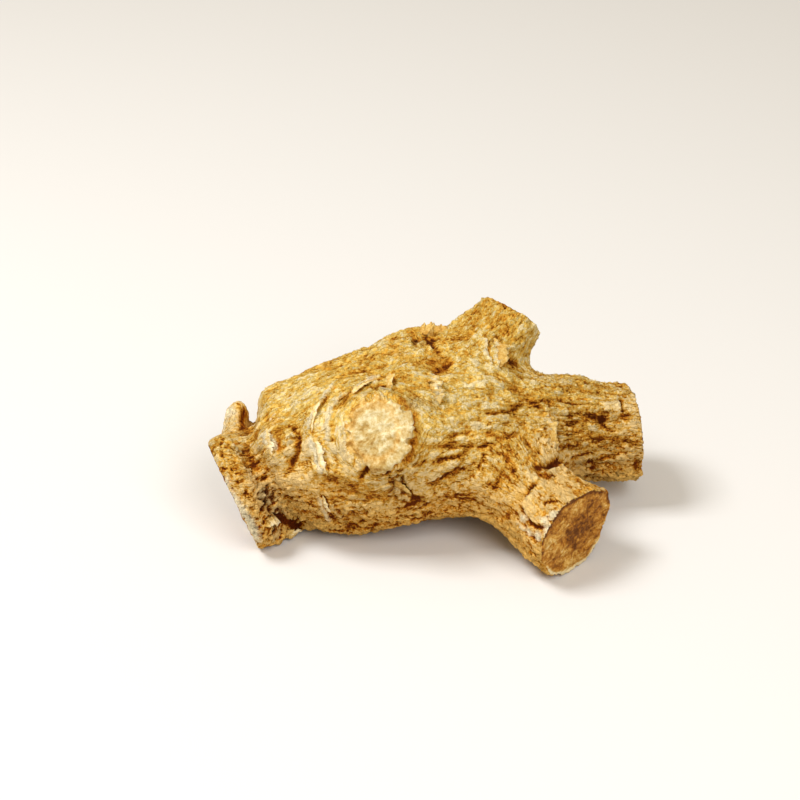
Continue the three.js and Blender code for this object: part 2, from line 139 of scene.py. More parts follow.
# Thin flakes of torn skin: the path of the free edge, the width of the flake, how far its edge stands
# up, how far it rolls over, and how white it is. A flake lies on the left of its path, and its grid
# has so many rows along the edge and columns from root to edge.
FLAKE_ROWS = 46
FLAKE_COLUMNS = 9
FLAKES = [
    ([(-14.6, -0.6, 15.8), (-15.3, 0.4, 17.4), (-15.5, 1.6, 19.4), (-16.0, 2.8, 21.0)],
     1.3, 0.5, 0.5, 1.0),
    ([(-16.3, 3.2, 21.4), (-15.9, 4.6, 22.6), (-15.1, 5.9, 23.9), (-13.8, 7.0, 25.1)],
     0.6, 0.3, 0.4, 0.9),
    ([(3.6, 3.0, 24.6), (3.5, 5.1, 26.2), (3.4, 7.6, 27.1)], 1.2, 0.45, 0.5, 0.7),
    ([(14.6, 10.7, 25.3), (15.3, 12.4, 25.8), (15.4, 14.4, 26.3), (14.6, 16.3, 27.2)],
     1.0, 0.5, 0.5, 0.45),
    ([(21.6, 1.6, 15.2), (21.6, 3.4, 17.1), (21.6, 5.4, 18.9)], 0.9, 0.4, 0.4, 0.5),
    ([(-14.0, 0.9, 8.1), (-14.6, -0.2, 10.2), (-15.2, 0.0, 12.2)], 1.0, 0.45, 0.4, 0.8),
    ([(-1.9, -2.7, 11.9), (-2.9, -2.9, 13.6), (-4.2, -2.9, 15.2)], 1.0, 0.4, 0.3, 0.3),
    ([(-17.6, 6.3, 1.2), (-19.0, 5.4, 1.8), (-20.0, 4.6, 2.4)], 1.3, 0.8, 0.3, 0.8),
    ([(-3.7, 5.0, 26.6), (-3.2, 6.8, 27.4), (-3.9, 8.2, 27.5)], 0.8, 0.5, 0.4, 0.5),
    ([(5.4, 18.4, 27.7), (4.4, 19.3, 27.9), (3.4, 19.4, 28.0)], 1.2, 1.1, 0.3, 0.3),
    ([(8.0, 20.2, 26.8), (6.9, 21.2, 26.6), (6.1, 21.2, 26.9)], 1.1, 0.8, 0.3, 0.3),
    ([(-9.6, 6.0, 26.0), (-7.6, 7.0, 26.8), (-5.6, 7.6, 27.2)], 0.8, 0.3, 0.3, 0.7),
    ([(-22.5, 5.2, 16.2), (-22.0, 6.3, 18.0), (-22.1, 8.1, 19.8)], 1.9, 0.3, 0.1, 0.9),
    ([(-24.0, 1.2, 6.4), (-22.8, 2.6, 5.9), (-21.4, 4.4, 5.0)], 0.9, 0.6, 0.3, 1.0),
]

# Creases between forms: path, depth, half width, and how much painted shade lies on the floor of the
# crease.
CREASES = [
    ([(-26.0, 10.3, 15.5), (-25.2, 8.2, 14.5), (-24.2, 6.6, 13.2), (-23.4, 5.4, 11.1)], 0.5, 0.8, 0.5),
    ([(-23.4, 5.4, 11.1), (-22.8, 4.5, 8.8), (-21.6, 4.8, 5.6), (-19.7, 5.4, 3.3), (-17.4, 6.2, 1.1)],
     1.0, 0.9, 1.4),
    ([(-26.2, 12.4, 16.1), (-25.2, 12.8, 16.4), (-24.2, 13.1, 16.9), (-23.7, 12.2, 17.9)], 1.1, 0.8, 1.4),
    ([(-24.9, 19.2, 17.0), (-24.6, 18.6, 15.4), (-25.1, 16.5, 15.2), (-25.6, 14.5, 15.6)],
     0.25, 1.2, 0.9),
    ([(-21.6, 6.4, 19.9), (-20.8, 6.4, 20.6), (-19.6, 6.4, 21.0), (-18.5, 6.1, 20.8)], 0.35, 0.45, 0.5),
    ([(-18.9, 6.2, 20.9), (-18.1, 5.1, 20.2), (-18.0, 4.2, 19.3), (-18.5, 3.6, 17.7), (-19.3, 3.4, 16.1),
      (-19.9, 3.1, 14.5)], 0.8, 0.6, 1.2),
    ([(-20.3, 6.2, 20.2), (-21.2, 5.2, 18.6), (-21.9, 5.5, 17.4)], 0.45, 0.9, 0.5),
    ([(-23.6, 6.7, 13.8), (-23.0, 5.9, 13.4), (-23.3, 5.5, 12.4), (-23.9, 5.8, 11.9)], 0.4, 0.4, 0.9),
    ([(-5.2, -2.9, 16.1), (-4.5, -2.8, 14.8), (-3.4, -2.8, 14.4), (-3.1, -2.8, 12.8), (-1.9, -2.7, 12.0)],
     0.55, 0.6, 0.9),
    ([(3.6, 8.4, 26.8), (5.1, 9.9, 26.5), (6.6, 10.9, 26.6), (8.4, 11.6, 26.4)], 0.55, 0.6, 0.7),
    ([(3.4, 18.6, 27.7), (4.6, 17.3, 27.5), (4.4, 15.4, 27.6), (5.2, 13.4, 27.6)], 0.6, 0.6, 0.8),
    ([(-8.3, -3.2, 19.1), (-8.9, -2.0, 16.9), (-9.8, -1.9, 15.4)], 0.7, 0.6, 0.6),
    ([(-0.4, -1.8, 20.3), (2.8, -1.1, 19.5), (6.7, -0.9, 19.0), (9.1, -0.8, 18.5), (12.3, -0.1, 18.8)],
     0.5, 0.45, 0.6),
    ([(-3.0, -3.1, 17.3), (0.2, -2.7, 18.1), (3.9, -2.1, 18.0), (7.3, -1.7, 17.7)], 0.4, 0.4, 0.45),
    ([(0.2, -2.6, 13.7), (2.6, -2.2, 14.5), (5.7, -2.1, 15.5), (7.3, -2.2, 16.2)], 0.45, 0.45, 0.5),
    ([(8.5, -2.5, 15.5), (9.5, -1.6, 17.5), (10.9, -0.9, 18.2)], 0.35, 0.4, 0.4),
    ([(9.8, -4.1, 11.2), (10.9, -4.3, 13.1), (12.3, -3.4, 15.6), (13.6, -1.8, 17.2)], 0.4, 0.4, 0.4),
    ([(9.2, 2.6, 22.5), (12.2, 3.1, 21.8), (15.1, 4.5, 21.0), (18.1, 7.0, 21.0)], 0.6, 0.5, 0.5),
    ([(2.9, -0.7, 21.0), (7.7, 0.4, 20.7), (12.4, 0.2, 19.1), (15.7, 1.2, 18.4)], 0.35, 0.4, 0.3),
    ([(22.4, -1.0, 13.4), (27.1, 4.4, 9.7), (30.2, 4.2, 10.6), (34.1, 3.6, 11.7)], 0.4, 0.5, 0.5),
    ([(22.8, 4.1, 15.0), (27.8, 4.9, 14.6), (31.8, 4.4, 13.7), (35.4, 3.9, 12.9)], 0.4, 0.45, 0.4),
    ([(16.4, -1.8, 15.0), (17.9, -3.0, 15.2), (20.2, -2.0, 14.6), (21.6, 0.0, 13.8), (23.9, 2.0, 10.7)],
     1.3, 0.9, 1.0),
    ([(15.5, 14.4, 26.0), (16.2, 13.6, 24.9), (17.2, 13.6, 24.0), (18.7, 13.9, 22.9)], 0.8, 0.7, 0.8),
    ([(22.3, -7.7, 14.1), (22.7, -10.0, 13.9), (23.6, -9.3, 11.7)], 0.5, 0.7, 0.4),
    ([(17.0, -3.9, 15.3), (18.8, -4.6, 14.9), (20.6, -4.0, 14.2)], 0.6, 0.7, 0.6),
]

# Patches of the skin: centre, radius and strength.
PATCHES = {
    # Rubbed to a white powder.
    "powder": [
        ((-22.9, 6.8, 17.9), 1.9, 1.6), ((13.4, -9.2, 9.4), 1.3, 0.8), ((15.0, -13.2, 9.8), 1.4, 0.9),
        ((18.1, -12.1, 13.3), 1.3, 1.0), ((16.9, -13.0, 12.0), 1.3, 0.9), ((21.6, -10.8, 12.6), 1.2, 0.9),
        ((25.4, -8.0, 12.0), 1.1, 0.9), ((17.6, -15.6, 5.0), 1.2, 0.5), ((-23.6, 1.4, 6.3), 1.6, 1.0),
        ((-21.6, 3.6, 4.4), 1.3, 0.7), ((11.0, 4.2, 23.0), 1.6, 0.8), ((18.5, 22.0, 30.0), 1.6, 0.6),
        ((1.0, 8.0, 27.0), 2.5, 0.4), ((-27.8, 18.0, 15.8), 2.0, 1.3), ((-18.4, 1.9, 10.2), 1.8, 0.5),
        ((-29.2, 3.8, 12.9), 1.9, 1.0), ((-27.4, 1.2, 8.0), 2.5, 1.3), ((-26.4, 0.8, 4.8), 1.8, 1.0),
        ((-12.6, 1.4, 22.4), 1.5, 0.6),
    ],
    # Rubbed bare and white.
    "white": [
        ((-21.6, 9.8, 20.1), 0.45, 0.9), ((-21.0, 10.2, 20.7), 0.45, 0.9),
        ((-22.8, 7.0, 18.8), 1.2, 1.2), ((-21.9, 5.8, 17.9), 0.8, 1.1), ((-27.2, 19.0, 16.3), 1.5, 1.1),
        ((-28.1, 17.4, 14.4), 1.1, 0.9), ((18.0, -12.7, 13.1), 0.9, 1.2), ((20.7, -11.3, 12.6), 1.0, 1.2),
        ((25.3, -8.1, 11.9), 1.1, 1.2), ((16.5, -12.4, 12.1), 0.8, 1.1), ((16.8, -14.0, 11.4), 0.9, 1.2),
        ((15.2, -13.5, 9.9), 1.0, 1.1), ((13.8, -9.5, 10.7), 0.9, 1.0), ((14.3, -11.6, 9.6), 0.9, 1.0),
        ((-29.6, 4.2, 13.2), 1.0, 1.1), ((-28.8, 2.9, 11.2), 1.2, 1.2), ((-28.0, 1.8, 9.4), 1.4, 1.3),
        ((-27.2, 1.0, 7.6), 1.5, 1.3), ((-26.6, 0.6, 5.6), 1.6, 1.3), ((-26.0, 0.3, 3.4), 1.6, 1.2),
    ],
    # Broken into crumbs, with painted shade in the holes between them.
    "crumbled": [
        ((-25.1, 6.9, 13.5), 1.6, 0.8), ((-24.1, 5.3, 11.4), 1.8, 1.0), ((-23.8, 3.9, 9.4), 2.0, 1.0),
        ((-22.9, 3.7, 7.1), 2.0, 1.0), ((-20.4, 5.3, 4.9), 2.2, 0.9), ((-18.0, 5.6, 4.0), 1.8, 0.7),
        ((-29.2, 10.5, 16.6), 1.6, 0.7), ((-26.9, 9.5, 15.3), 1.5, 0.9), ((-5.8, -2.9, 16.4), 1.4, 0.8),
        ((-4.3, -2.7, 15.3), 1.3, 1.0), ((-3.6, -2.6, 13.7), 1.5, 1.0), ((-3.0, -2.7, 12.0), 1.4, 0.9),
        ((2.9, 17.6, 27.9), 2.2, 0.8), ((3.3, 15.2, 27.7), 2.0, 0.8), ((3.8, 13.0, 27.6), 1.5, 0.6),
        ((-19.4, 5.4, 19.8), 1.5, 0.7), ((-20.1, 3.9, 17.4), 1.3, 0.6), ((22.7, 3.0, 16.0), 2.5, 0.7),
        ((20.6, -2.7, 14.2), 2.0, 0.9), ((24.5, 1.5, 13.0), 2.5, 0.7), ((-6.0, 7.2, 26.8), 1.8, 0.6),
    ],
    # Stained a greyish brown.
    "stain": [
        ((-0.8, 2.8, 25.5), 1.9, 0.9), ((2.4, 2.5, 24.8), 1.6, 0.6), ((-4.0, -2.7, 14.0), 2.2, 0.7),
        ((-23.8, 4.5, 9.8), 2.3, 1.0), ((-22.0, 4.4, 5.6), 2.2, 0.9), ((2.6, 16.0, 27.8), 2.0, 0.7),
        ((20.9, 4.0, 17.0), 1.6, 0.7), ((-19.6, 5.0, 19.0), 1.7, 0.6), ((-26.9, 9.5, 15.3), 1.4, 0.8),
        ((-12.4, 0.4, 19.4), 1.6, 0.6), ((-22.4, 2.4, 3.2), 1.8, 0.6), ((19.6, -3.2, 14.6), 1.8, 0.7),
        ((-24.2, 15.5, 17.6), 1.6, 0.8),
    ],
    # Stripped to the orange flesh.
    "amber": [
        ((-24.5, 18.4, 14.8), 2.0, 1.5), ((-26.8, 15.6, 13.6), 1.6, 1.3), ((-21.3, 5.2, 18.5), 1.2, 1.0),
        ((-15.6, -0.2, 12.8), 3.0, 0.8), ((-12.6, -1.1, 12.4), 3.6, 1.0), ((4.6, 11.0, 27.0), 2.2, 0.6),
        ((14.0, -7.0, 12.8), 1.6, 0.8), ((22.0, -3.4, 13.6), 2.0, 0.8), ((-24.6, 12.6, 17.4), 1.4, 0.8),
        ((-23.0, 1.8, 3.2), 1.5, 1.0), ((-20.8, 4.0, 2.6), 1.5, 1.0),
    ],
}

# Soft pulls that finish the form: centre, radius, and how far the middle is pulled.
PULLS = [
    ((27.4, -6.6, 9.6), 4.2, (1.25, 0.85, 0.35)), ((20.6, -11.4, 13.6), 2.6, (0.0, 0.0, 0.25)),
    ((-22.6, 5.0, 7.6), 2.4, (-0.35, -0.9, 0.3)), ((-13.0, 15.3, 25.2), 5.0, (-0.08, -0.45, -0.7)),
    ((-2.5, 17.8, 27.0), 4.0, (0.05, 0.3, 0.5)), ((-21.8, 16.5, 20.3), 3.0, (-0.1, 0.4, 0.7)),
    ((-24.2, 14.6, 17.0), 1.7, (-0.2, 0.0, -1.6)), ((-23.6, 18.6, 14.4), 2.0, (0.0, -0.3, -1.5)),
]

# The camera: its place in millimetres, its angles and its lens.
CAMERA_AT = (-60.14, -313.89, 230.71)
CAMERA_AZIMUTH = np.radians(-10.0)
CAMERA_ELEVATION = np.radians(33.0)
LENS = 111.78

# The stage, in metres: lamps with their place, side and power, and the place that they face.
LAMPS = (
    ("key", (-0.25, 0.03, 0.42), 0.17, 1.9),
    ("fill", (0.10, -0.36, 0.40), 0.3, 1.65),
)
LAMPS_FACE = (0, 0, 0.012)
FLOOR_HALF = 2
STUDIO_STRENGTH = 0.46


def linear(colour):
    """The linear colour of an sRGB hex value such as "#C69A50", with alpha 1."""
    parts = np.array([int(colour[i:i + 2], 16) for i in (1, 3, 5)]) / 255
    light = np.where(parts <= 0.04045, parts / 12.92, ((parts + 0.055) / 1.055) ** 2.4)
    return (*light.tolist(), 1.0)


class RootSizes(bpy.types.PropertyGroup):
    """Sizes that a user would change."""

    voxel: bpy.props.FloatProperty(
        name="Surface step", description="Side of the cubes that the skin is remeshed with",
        default=0.303 * MM, unit="LENGTH", precision=5)
    fold: bpy.props.FloatProperty(
        name="Fold height", description="Height of the broad folds of the skin",
        default=0.45 * MM, unit="LENGTH", precision=5)
    wrinkle: bpy.props.FloatProperty(
        name="Wrinkle height", description="Height of the wrinkles that follow the limbs",
        default=0.34 * MM, unit="LENGTH", precision=5)
    crumb: bpy.props.FloatProperty(
        name="Crumb height", description="Height of the crumbly grain of the dry cork",
        default=0.2 * MM, unit="LENGTH", precision=5)
    flake: bpy.props.FloatProperty(
        name="Flake thickness", description="Thickness of the curled flakes of torn cork",
        default=0.16 * MM, unit="LENGTH", precision=5)


class RootColours(bpy.types.PropertyGroup):
    """Colours that a user would change, kept as linear values."""

    # The darkest colour of the skin's ramp, reached where painted shade falls in the creases.
    crease: bpy.props.FloatVectorProperty(
        name="Creases", description="Deep amber floors of the skin's creases",
        subtype="COLOR", size=4, default=linear("#4E2204"))
    skin: bpy.props.FloatVectorProperty(
        name="Skin", description="Middle tone of the skin",
        subtype="COLOR", size=4, default=linear("#DDAB44"))
    crest: bpy.props.FloatVectorProperty(
        name="Crests", description="Rubbed tops of the wrinkles",
        subtype="COLOR", size=4, default=linear("#F4E0AE"))
    torn: bpy.props.FloatVectorProperty(
        name="Torn edges", description="Bleached edges of the torn cork",
        subtype="COLOR", size=4, default=linear("#FBEAC2"))
    floor: bpy.props.FloatVectorProperty(
        name="Floor", description="The pale floor under the root",
        subtype="COLOR", size=4, default=linear("#DCDBDA"))
    studio: bpy.props.FloatVectorProperty(
        name="Studio", description="The warm light from all round",
        subtype="COLOR", size=4, default=linear("#FFEFD2"))


def unit(vectors):
    """Vectors divided by their lengths."""
    vectors = np.asarray(vectors, float)
    return vectors / np.maximum(np.linalg.norm(vectors, axis=-1, keepdims=True), 1e-12)


def ease(low, high, x):
    """0 below low, 1 above high, and a smooth S between them."""
    t = np.clip((x - low) / (high - low), 0, 1)
    return t * t * (3 - 2 * t)


def bell(x):
    """1 at zero, falling to 0 on both sides as e to the minus x squared."""
    return np.exp(-x ** 2)


SLOPES = unit(np.random.default_rng(7).normal(size=(256, 3)))


def lattice_noise(points, seed):
    """Smooth noise, about -1 to 1: a random slope at each corner of a unit lattice gives a height at the
    point, and the eight heights are mixed by the quintic ease of the point's place in its cell."""
    cell = np.floor(points).astype(np.int64)
    place = points - cell
    soft = place ** 3 * (place * (place * 6 - 15) + 10)
    total = np.zeros(len(points))
    for corner in np.ndindex(2, 2, 2):
        x, y, z = (cell + corner).T
        mixed = (x * 73856093) ^ (y * 19349663) ^ (z * 83492791) ^ (seed * 2654435761)
        mixed = (mixed ^ (mixed >> 13)) * 1274126177
        slope = SLOPES[(mixed ^ (mixed >> 16)) & 255]
        weight = np.prod(np.where(corner, soft, 1 - soft), axis=1)
        total += weight * np.einsum("ij,ij->i", slope, place - corner)
    return total * 1.6


def rough_noise(points, seed, octaves):
    """Noise summed over octaves, each twice as fine and half as high as the last."""
    return sum(lattice_noise(points * 2 ** n, seed + n) / 2 ** n for n in range(octaves)) / 1.5


class Surface:
    """The points of a mesh in millimetres with their outward normals, and averages along its edges."""

    def __init__(self, mesh):
        count = len(mesh.vertices)
        self.mesh = mesh
        self.points = np.empty(count * 3, np.float32)
        mesh.vertices.foreach_get("co", self.points)
        self.points = self.points.reshape(-1, 3).astype(float) / MM
        edges = np.empty(len(mesh.edges) * 2, np.int32)
        mesh.edges.foreach_get("vertices", edges)
        self.ends = edges.reshape(-1, 2)
        self.degree = np.bincount(self.ends.ravel(), minlength=count)
        self.normals = None
        self.update()

    def spread(self, values, rounds):
        """Values averaged with those of their edge neighbours, so many times over."""
        a, b = self.ends.T
        values = np.array(values, float)
        flat = values.reshape(len(values), -1)
        for _ in range(rounds):
            for column in range(flat.shape[1]):
                line = flat[:, column]
                total = np.bincount(a, line[b], len(line)) + np.bincount(b, line[a], len(line))
                flat[:, column] = 0.5 * line + 0.5 * total / self.degree
        return flat.reshape(values.shape)

    def update(self):
        """Writes the points back and reads the normals again."""
        self.mesh.vertices.foreach_set("co", (self.points * MM).astype(np.float32).ravel())
        self.mesh.update()
        normals = np.empty(len(self.points) * 3, np.float32)
        self.mesh.vertex_normals.foreach_get("vector", normals)
        self.normals = normals.reshape(-1, 3).astype(float)

    def push(self, heights):
        """Moves each point along its normal, and none below the floor."""
        self.points += self.normals * heights[:, None]
        self.points[:, 2] = np.maximum(self.points[:, 2], 0)
        self.update()

    def store(self, name, values):
        """Keeps a number, or three, for each point, for the materials to read."""
        values = np.asarray(values, np.float32)
        kind, field = ("FLOAT", "value") if values.ndim == 1 else ("FLOAT_VECTOR", "vector")
        self.mesh.attributes.new(name, kind, "POINT").data.foreach_set(field, values.ravel())


def measured(place):
    """A measured place, or several, in the row's frame."""
    return np.asarray(place, float) + MEASURED_FROM


def nearness(points, centre, radius):
    """A bell round a measured place: 1 at the place and 0 well beyond its radius."""
    return bell(np.linalg.norm(points - measured(centre), axis=1) / radius)


def limb_share(gap, reach):
    """1 inside a limb, fading out over about the reach outside it."""
    return np.exp(-np.clip(gap, 0, 20) / reach)


def remeshed_copy(node, voxel):
    """A copy of a solid's mesh with its doubles merged and even quads of about the voxel's side."""
    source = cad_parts[node]
    mesh = source.data.copy()
    edit = bmesh.new()
    edit.from_mesh(mesh)
    bmesh.ops.remove_doubles(edit, verts=edit.verts, dist=1e-6)
    edit.to_mesh(mesh)
    edit.free()
    rough = bpy.data.objects.new("rough_copy", mesh)
    bpy.context.collection.objects.link(rough)
    remesh = rough.modifiers.new("Even quads", "REMESH")
    remesh.mode = "VOXEL"
    remesh.voxel_size = voxel
    graph = bpy.context.evaluated_depsgraph_get()
    even = bpy.data.meshes.new_from_object(rough.evaluated_get(graph))
    bpy.data.objects.remove(rough)
    return even


def centre_line(rows, steps=60):
    """Points and radii along a limb, evenly shared between its rows by linear mixing."""
    rows = np.array(rows, float)
    at = np.linspace(0, len(rows) - 1, steps)
    line = np.stack([np.interp(at, np.arange(len(rows)), rows[:, i]) for i in range(4)], axis=1)
    line[:, :3] = measured(line[:, :3])
    return line


def limb_place(points, rows):
    """Each point's distance along a limb, the sine and cosine of its angle round it, and its gap to it.
    The point is dropped onto the limb's straight axis, and its angle is taken about the centre line."""
    line = centre_line(rows)
    start = line[0, :3]
    axis = unit(line[-1, :3] - start)
    side = unit(np.cross((0, 0, 1), axis))
    up = np.cross(axis, side)
    reach = (line[:, :3] - start) @ axis
    along = (points - start) @ axis
    held = np.clip(along, 0, reach[-1])
    centre = np.stack([np.interp(held, reach, line[:, i]) for i in range(4)], axis=1)
    out = points - centre[:, :3]
    across = np.stack([out @ side, out @ up], axis=1)
    gap = np.linalg.norm(out, axis=1) - centre[:, 3]
    return along, across / np.maximum(np.linalg.norm(across, axis=1), 1e-6)[:, None], gap


def crease_net(place, seed):
    """Rounded ridges parted by sharp creases, 0 in a crease to about 1 on a ridge: the smaller of the
    sizes of two noises, so that a crease runs wherever either noise crosses zero."""
    first = np.abs(lattice_noise(place, seed))
    second = np.abs(lattice_noise(place * 1.13 + 31.7, seed + 50))
    return np.clip(np.minimum(first, second) * 3.0, 0, 1.2) ** 0.75


def cracks(place, seed):
    """Thin cracks, 1 on the line where a noise crosses zero and 0 away from it."""
    return bell(lattice_noise(place, seed) / 0.11)


def along_limbs(pattern, points, limbs, length, width, seed):
    """A pattern stretched along each limb: its forms are about as long and as wide as given. Where limbs
    meet, their patterns are mixed by how near each limb is."""
    warp = np.stack([lattice_noise(points / (width * 2.8), seed + n) for n in (90, 91, 92)], axis=1)
    total, weight = 0, 0
    for number, (along, round_place, gap, ring) in enumerate(limbs):
        place = np.column_stack([along / length, round_place * ring / width])
        share = limb_share(gap, LIMBS_MIX_OVER)
        total = total + share * pattern(place + warp * (0.3, 0.85, 0.85), seed + 7 * number)
        weight = weight + share
    return total / weight


def parted_by_stump(points):
    """Points moved sideways towards the stump's long line, as the lines of a stream part round a pillar:
    the step is the sideways distance times the square of the stump's radius over the distance, and it
    fades out with the depth under the stump's face."""
    faces = unit(STUMP_FACES)
    along = unit(np.array((1.0, 0, 0)) - faces[0] * faces)
    sideways = np.cross(faces, along)
    away = points - measured(STUMP_CENTRE)
    depth = away @ faces
    flat = away - depth[:, None] * faces
    distance = np.maximum(np.linalg.norm(flat, axis=1), 1e-6)
    step = (flat @ sideways) * np.minimum(STUMP_REACH / distance, 1) ** 2
    step *= bell(depth / 8) * np.exp(-np.clip(distance - STUMP_REACH, 0, None) / 6.0)
    return points - step[:, None] * sideways


def path_place(points, path):
    """For each point: its gap to a path, how far along the path it lies from 0 to 1, its offset from the
    nearest point of the path, and the path's heading there."""
    path = measured(path)
    gap = np.full(len(points), 1e9)
    along = np.zeros(len(points))
    offset = np.zeros((len(points), 3))
    heading = np.zeros((len(points), 3))
    lengths = np.linalg.norm(np.diff(path, axis=0), axis=1)
    before = np.concatenate([[0], np.cumsum(lengths)])
    for start, end, length, done in zip(path[:-1], path[1:], lengths, before):
        share = np.clip((points - start) @ (end - start) / length ** 2, 0, 1)
        away = points - start - share[:, None] * (end - start)
        distance = np.linalg.norm(away, axis=1)
        nearer = distance < gap
        gap = np.where(nearer, distance, gap)
        along = np.where(nearer, (done + share * length) / before[-1], along)
        offset = np.where(nearer[:, None], away, offset)
        heading = np.where(nearer[:, None], (end - start) / length, heading)
    return gap, along, offset, heading


def side_of_path(surface, path):
    """For each point: how far left of a path it lies, seen from outside, its gap to the path, and the
    path's strength there, which fades in at both ends."""
    gap, along, offset, heading = path_place(surface.points, path)
    left = np.einsum("ij,ij->i", np.cross(surface.normals, heading), offset)
    return left, gap, np.clip(5 * np.minimum(along, 1 - along) + 0.15, 0, 1)


def cut_faces(surface):
    """How much each point belongs to a knife cut, 0 to 1, for all the cuts together."""
    total = np.zeros(len(surface.points))
    for at, faces, reach in CUTS:
        faces = unit(faces)
        away = surface.points - measured(at)
        height = away @ faces
        across = np.linalg.norm(away - height[:, None] * faces, axis=1)
        flat = ease(0.90, 0.97, surface.normals @ faces) * (1 - ease(0.15, 0.3, np.abs(height)))
        total = np.maximum(total, flat * (across < reach))
    return total


def patchwork(points, rows):
    """How strongly each point belongs to patches, 0 to 1.5, fading out from each patch's centre."""
    total = sum(strength * nearness(points, centre, radius) for centre, radius, strength in rows)
    return np.clip(total, 0, 1.5)


class Stump:
    """Where each point lies on the stump of the cut side root, and the forms of its face.

    share is the distance from the middle as a share of the rim's, and height the distance from the plane
    of the face. on, right, collar and under_edge run from 0 to 1."""

    def __init__(self, points):
        faces = unit(STUMP_FACES)
        across = unit(np.cross((0, 0, 1), faces))
        away = points - measured(STUMP_CENTRE)
        x, y = away @ across, away @ np.cross(faces, across)
        angle = np.arctan2(y, x)
        cosine, sine = np.cos(angle), np.sin(angle)
        share = np.hypot(x / STUMP_HALF[0], y / STUMP_HALF[1])
        self.share = share
        self.height = np.abs(away @ faces)
        self.on = (1 - ease(1.0, 1.05, share)) * (1 - ease(0.5, 1.0, self.height))
        self.core = np.hypot(share * cosine + 0.12, share * sine)
        self.rays = lattice_noise(np.column_stack([cosine, sine, share * 0.4]) * 7, 801)
        self.right = ease(-0.4, 0.5, cosine - 0.4 * sine)
        self.collar = ease(0.72, 0.8, self.core + 0.05 * self.rays) * (1 - self.right)
        below = 1 - ease(1.5, 3.0, self.height)
        self.under_edge = ease(1.0, 1.05, share) * (1 - ease(1.1, 1.3, share)) * below

    def fray(self, surface):
        """Pushes the stump's edge out and in along its face, so that it is ragged with a few deep notches,
        and gives the frill: how far out each direction is pushed."""
        faces = unit(STUMP_FACES)
        away = surface.points - measured(STUMP_CENTRE)
        outward = unit(away - (away @ faces)[:, None] * faces)
        notches = ease(0.25, 0.5, lattice_noise(outward * 3.1, 303))
        frill = 1.1 * lattice_noise(outward * 1.7, 301) + 0.45 * lattice_noise(outward * 3.7, 302)
        frill += 0.12 * lattice_noise(outward * 9.0, 304) - 1.1 * notches
        edge = ease(0.75, 1.0, self.share) * (1 - ease(1.1, 1.5, self.share))
        edge *= 1 - ease(1.2, 2.4, self.height)
        surface.points += outward * (0.6 * frill * edge)[:, None]
        surface.update()
        return frill

    def relief(self, points, frill, lumps):
        """The heights of the face: a recessed broken ring round its core, rays and the frill outside the
        ring, a sunken lumpy collar on its left, and an undercut below its right edge."""
        ring = bell((self.core - 0.66 + 0.10 * lattice_noise(points / 2.5, 802)) / 0.08)
        face = 0.16 * ease(0.6, 0.95, self.core) * self.rays - 0.12 * ring
        face += 0.38 * rough_noise(points / 1.3, 803, 4)
        face += 0.3 * ease(0.8, 1.0, self.share) * np.clip(frill, -1.5, 0.5)
        face += 0.2 * self.right * ease(0.72, 0.9, self.share) - self.collar * (0.35 + 0.3 * lumps)
        return self.on * face - 0.2 * self.right * self.under_edge


def smooth_form(surface, cut, stump):
    """Smooths the solid's facets away, less on the stump and not at all on the cut faces, and then gives
    the form its soft pulls."""
    some = surface.spread(surface.points, 8)
    much = surface.spread(some, 6)
    sharp = surface.spread(cut, 2)[:, None]
    worn = surface.spread(stump, 2)[:, None] * (1 - sharp)
    surface.points = surface.points * sharp + some * worn + much * (1 - sharp - worn)
    for centre, radius, shift in PULLS:
        surface.points += nearness(surface.points, centre, radius)[:, None] * shift


def regions(points, limbs):
    """How much each point belongs to the shoulder, the front leg, the tail and the crown, 0 to 1, and how
    high its wrinkles stand, which is less on the shoulder and the front leg."""
    front_along, _, front_gap, _ = limbs[1]
    shoulder = (1 - ease(-16, 4, points[:, 0] + 0.35 * points[:, 1])) * ease(6, 15, points[:, 2])
    front = limb_share(front_gap, 1.5) * ease(8, 16, front_along)
    from_cut = np.abs((points - measured(CROWN_CUT[0])) @ unit(CROWN_CUT[1]))
    return SimpleNamespace(
        shoulder=shoulder,
        front=front,
        tail=ease(14, 20, points[:, 0]) * (1 - front),
        crown=1 - ease(2.2, 3.2, from_cut),
        wrinkled=np.clip(1 - 0.45 * shoulder - 0.45 * front, 0.3, 1),
    )


def skin_relief(points, limbs, where, sizes, lumps, crumbled, holes):
    """The heights of the skin: bulges parted by grooves, wrinkles and fine wrinkles, all along the limbs,
    the lumps and grain of dry cork, and crumbs between holes. They are stronger low down in front."""
    bulges = along_limbs(lattice_noise, points, limbs, *BULGES)
    grooves = along_limbs(cracks, points, limbs, *GROOVES)
    grooves *= ease(-0.35, 0.35, lattice_noise(points / 4.0, 140))
    wrinkles = along_limbs(crease_net, points, limbs, *WRINKLES) - 0.5
    fine = along_limbs(crease_net, points, limbs, *FINE_WRINKLES) - 0.5
    grain = rough_noise(points / 0.75, 611, 2)
    crumbs = np.abs(lattice_noise(points / 1.0, 551)) - 0.25
    strong = 1 + 0.4 * (1 - ease(5, 14, points[:, 2])) * (1 - ease(-4, 6, points[:, 1]))
    wrinkled, crown = where.wrinkled, where.crown
    return strong * (
        sizes.fold / MM * (1 - 0.8 * crown) * (bulges - 0.9 * grooves * wrinkled)
        + sizes.wrinkle / MM * wrinkled * (1 - 0.9 * crown) * wrinkles
        + FINE_HEIGHT * (0.3 + 0.7 * wrinkled) * (1 - 0.7 * crown) * fine
        + sizes.crumb / MM * (1.2 * lumps + 0.5 * grain) * (0.4 + 0.9 * crown + 0.5 * where.tail)
        + crumbled * (1.3 * crumbs - 0.55 * holes) - 0.3 * crown * holes
    )


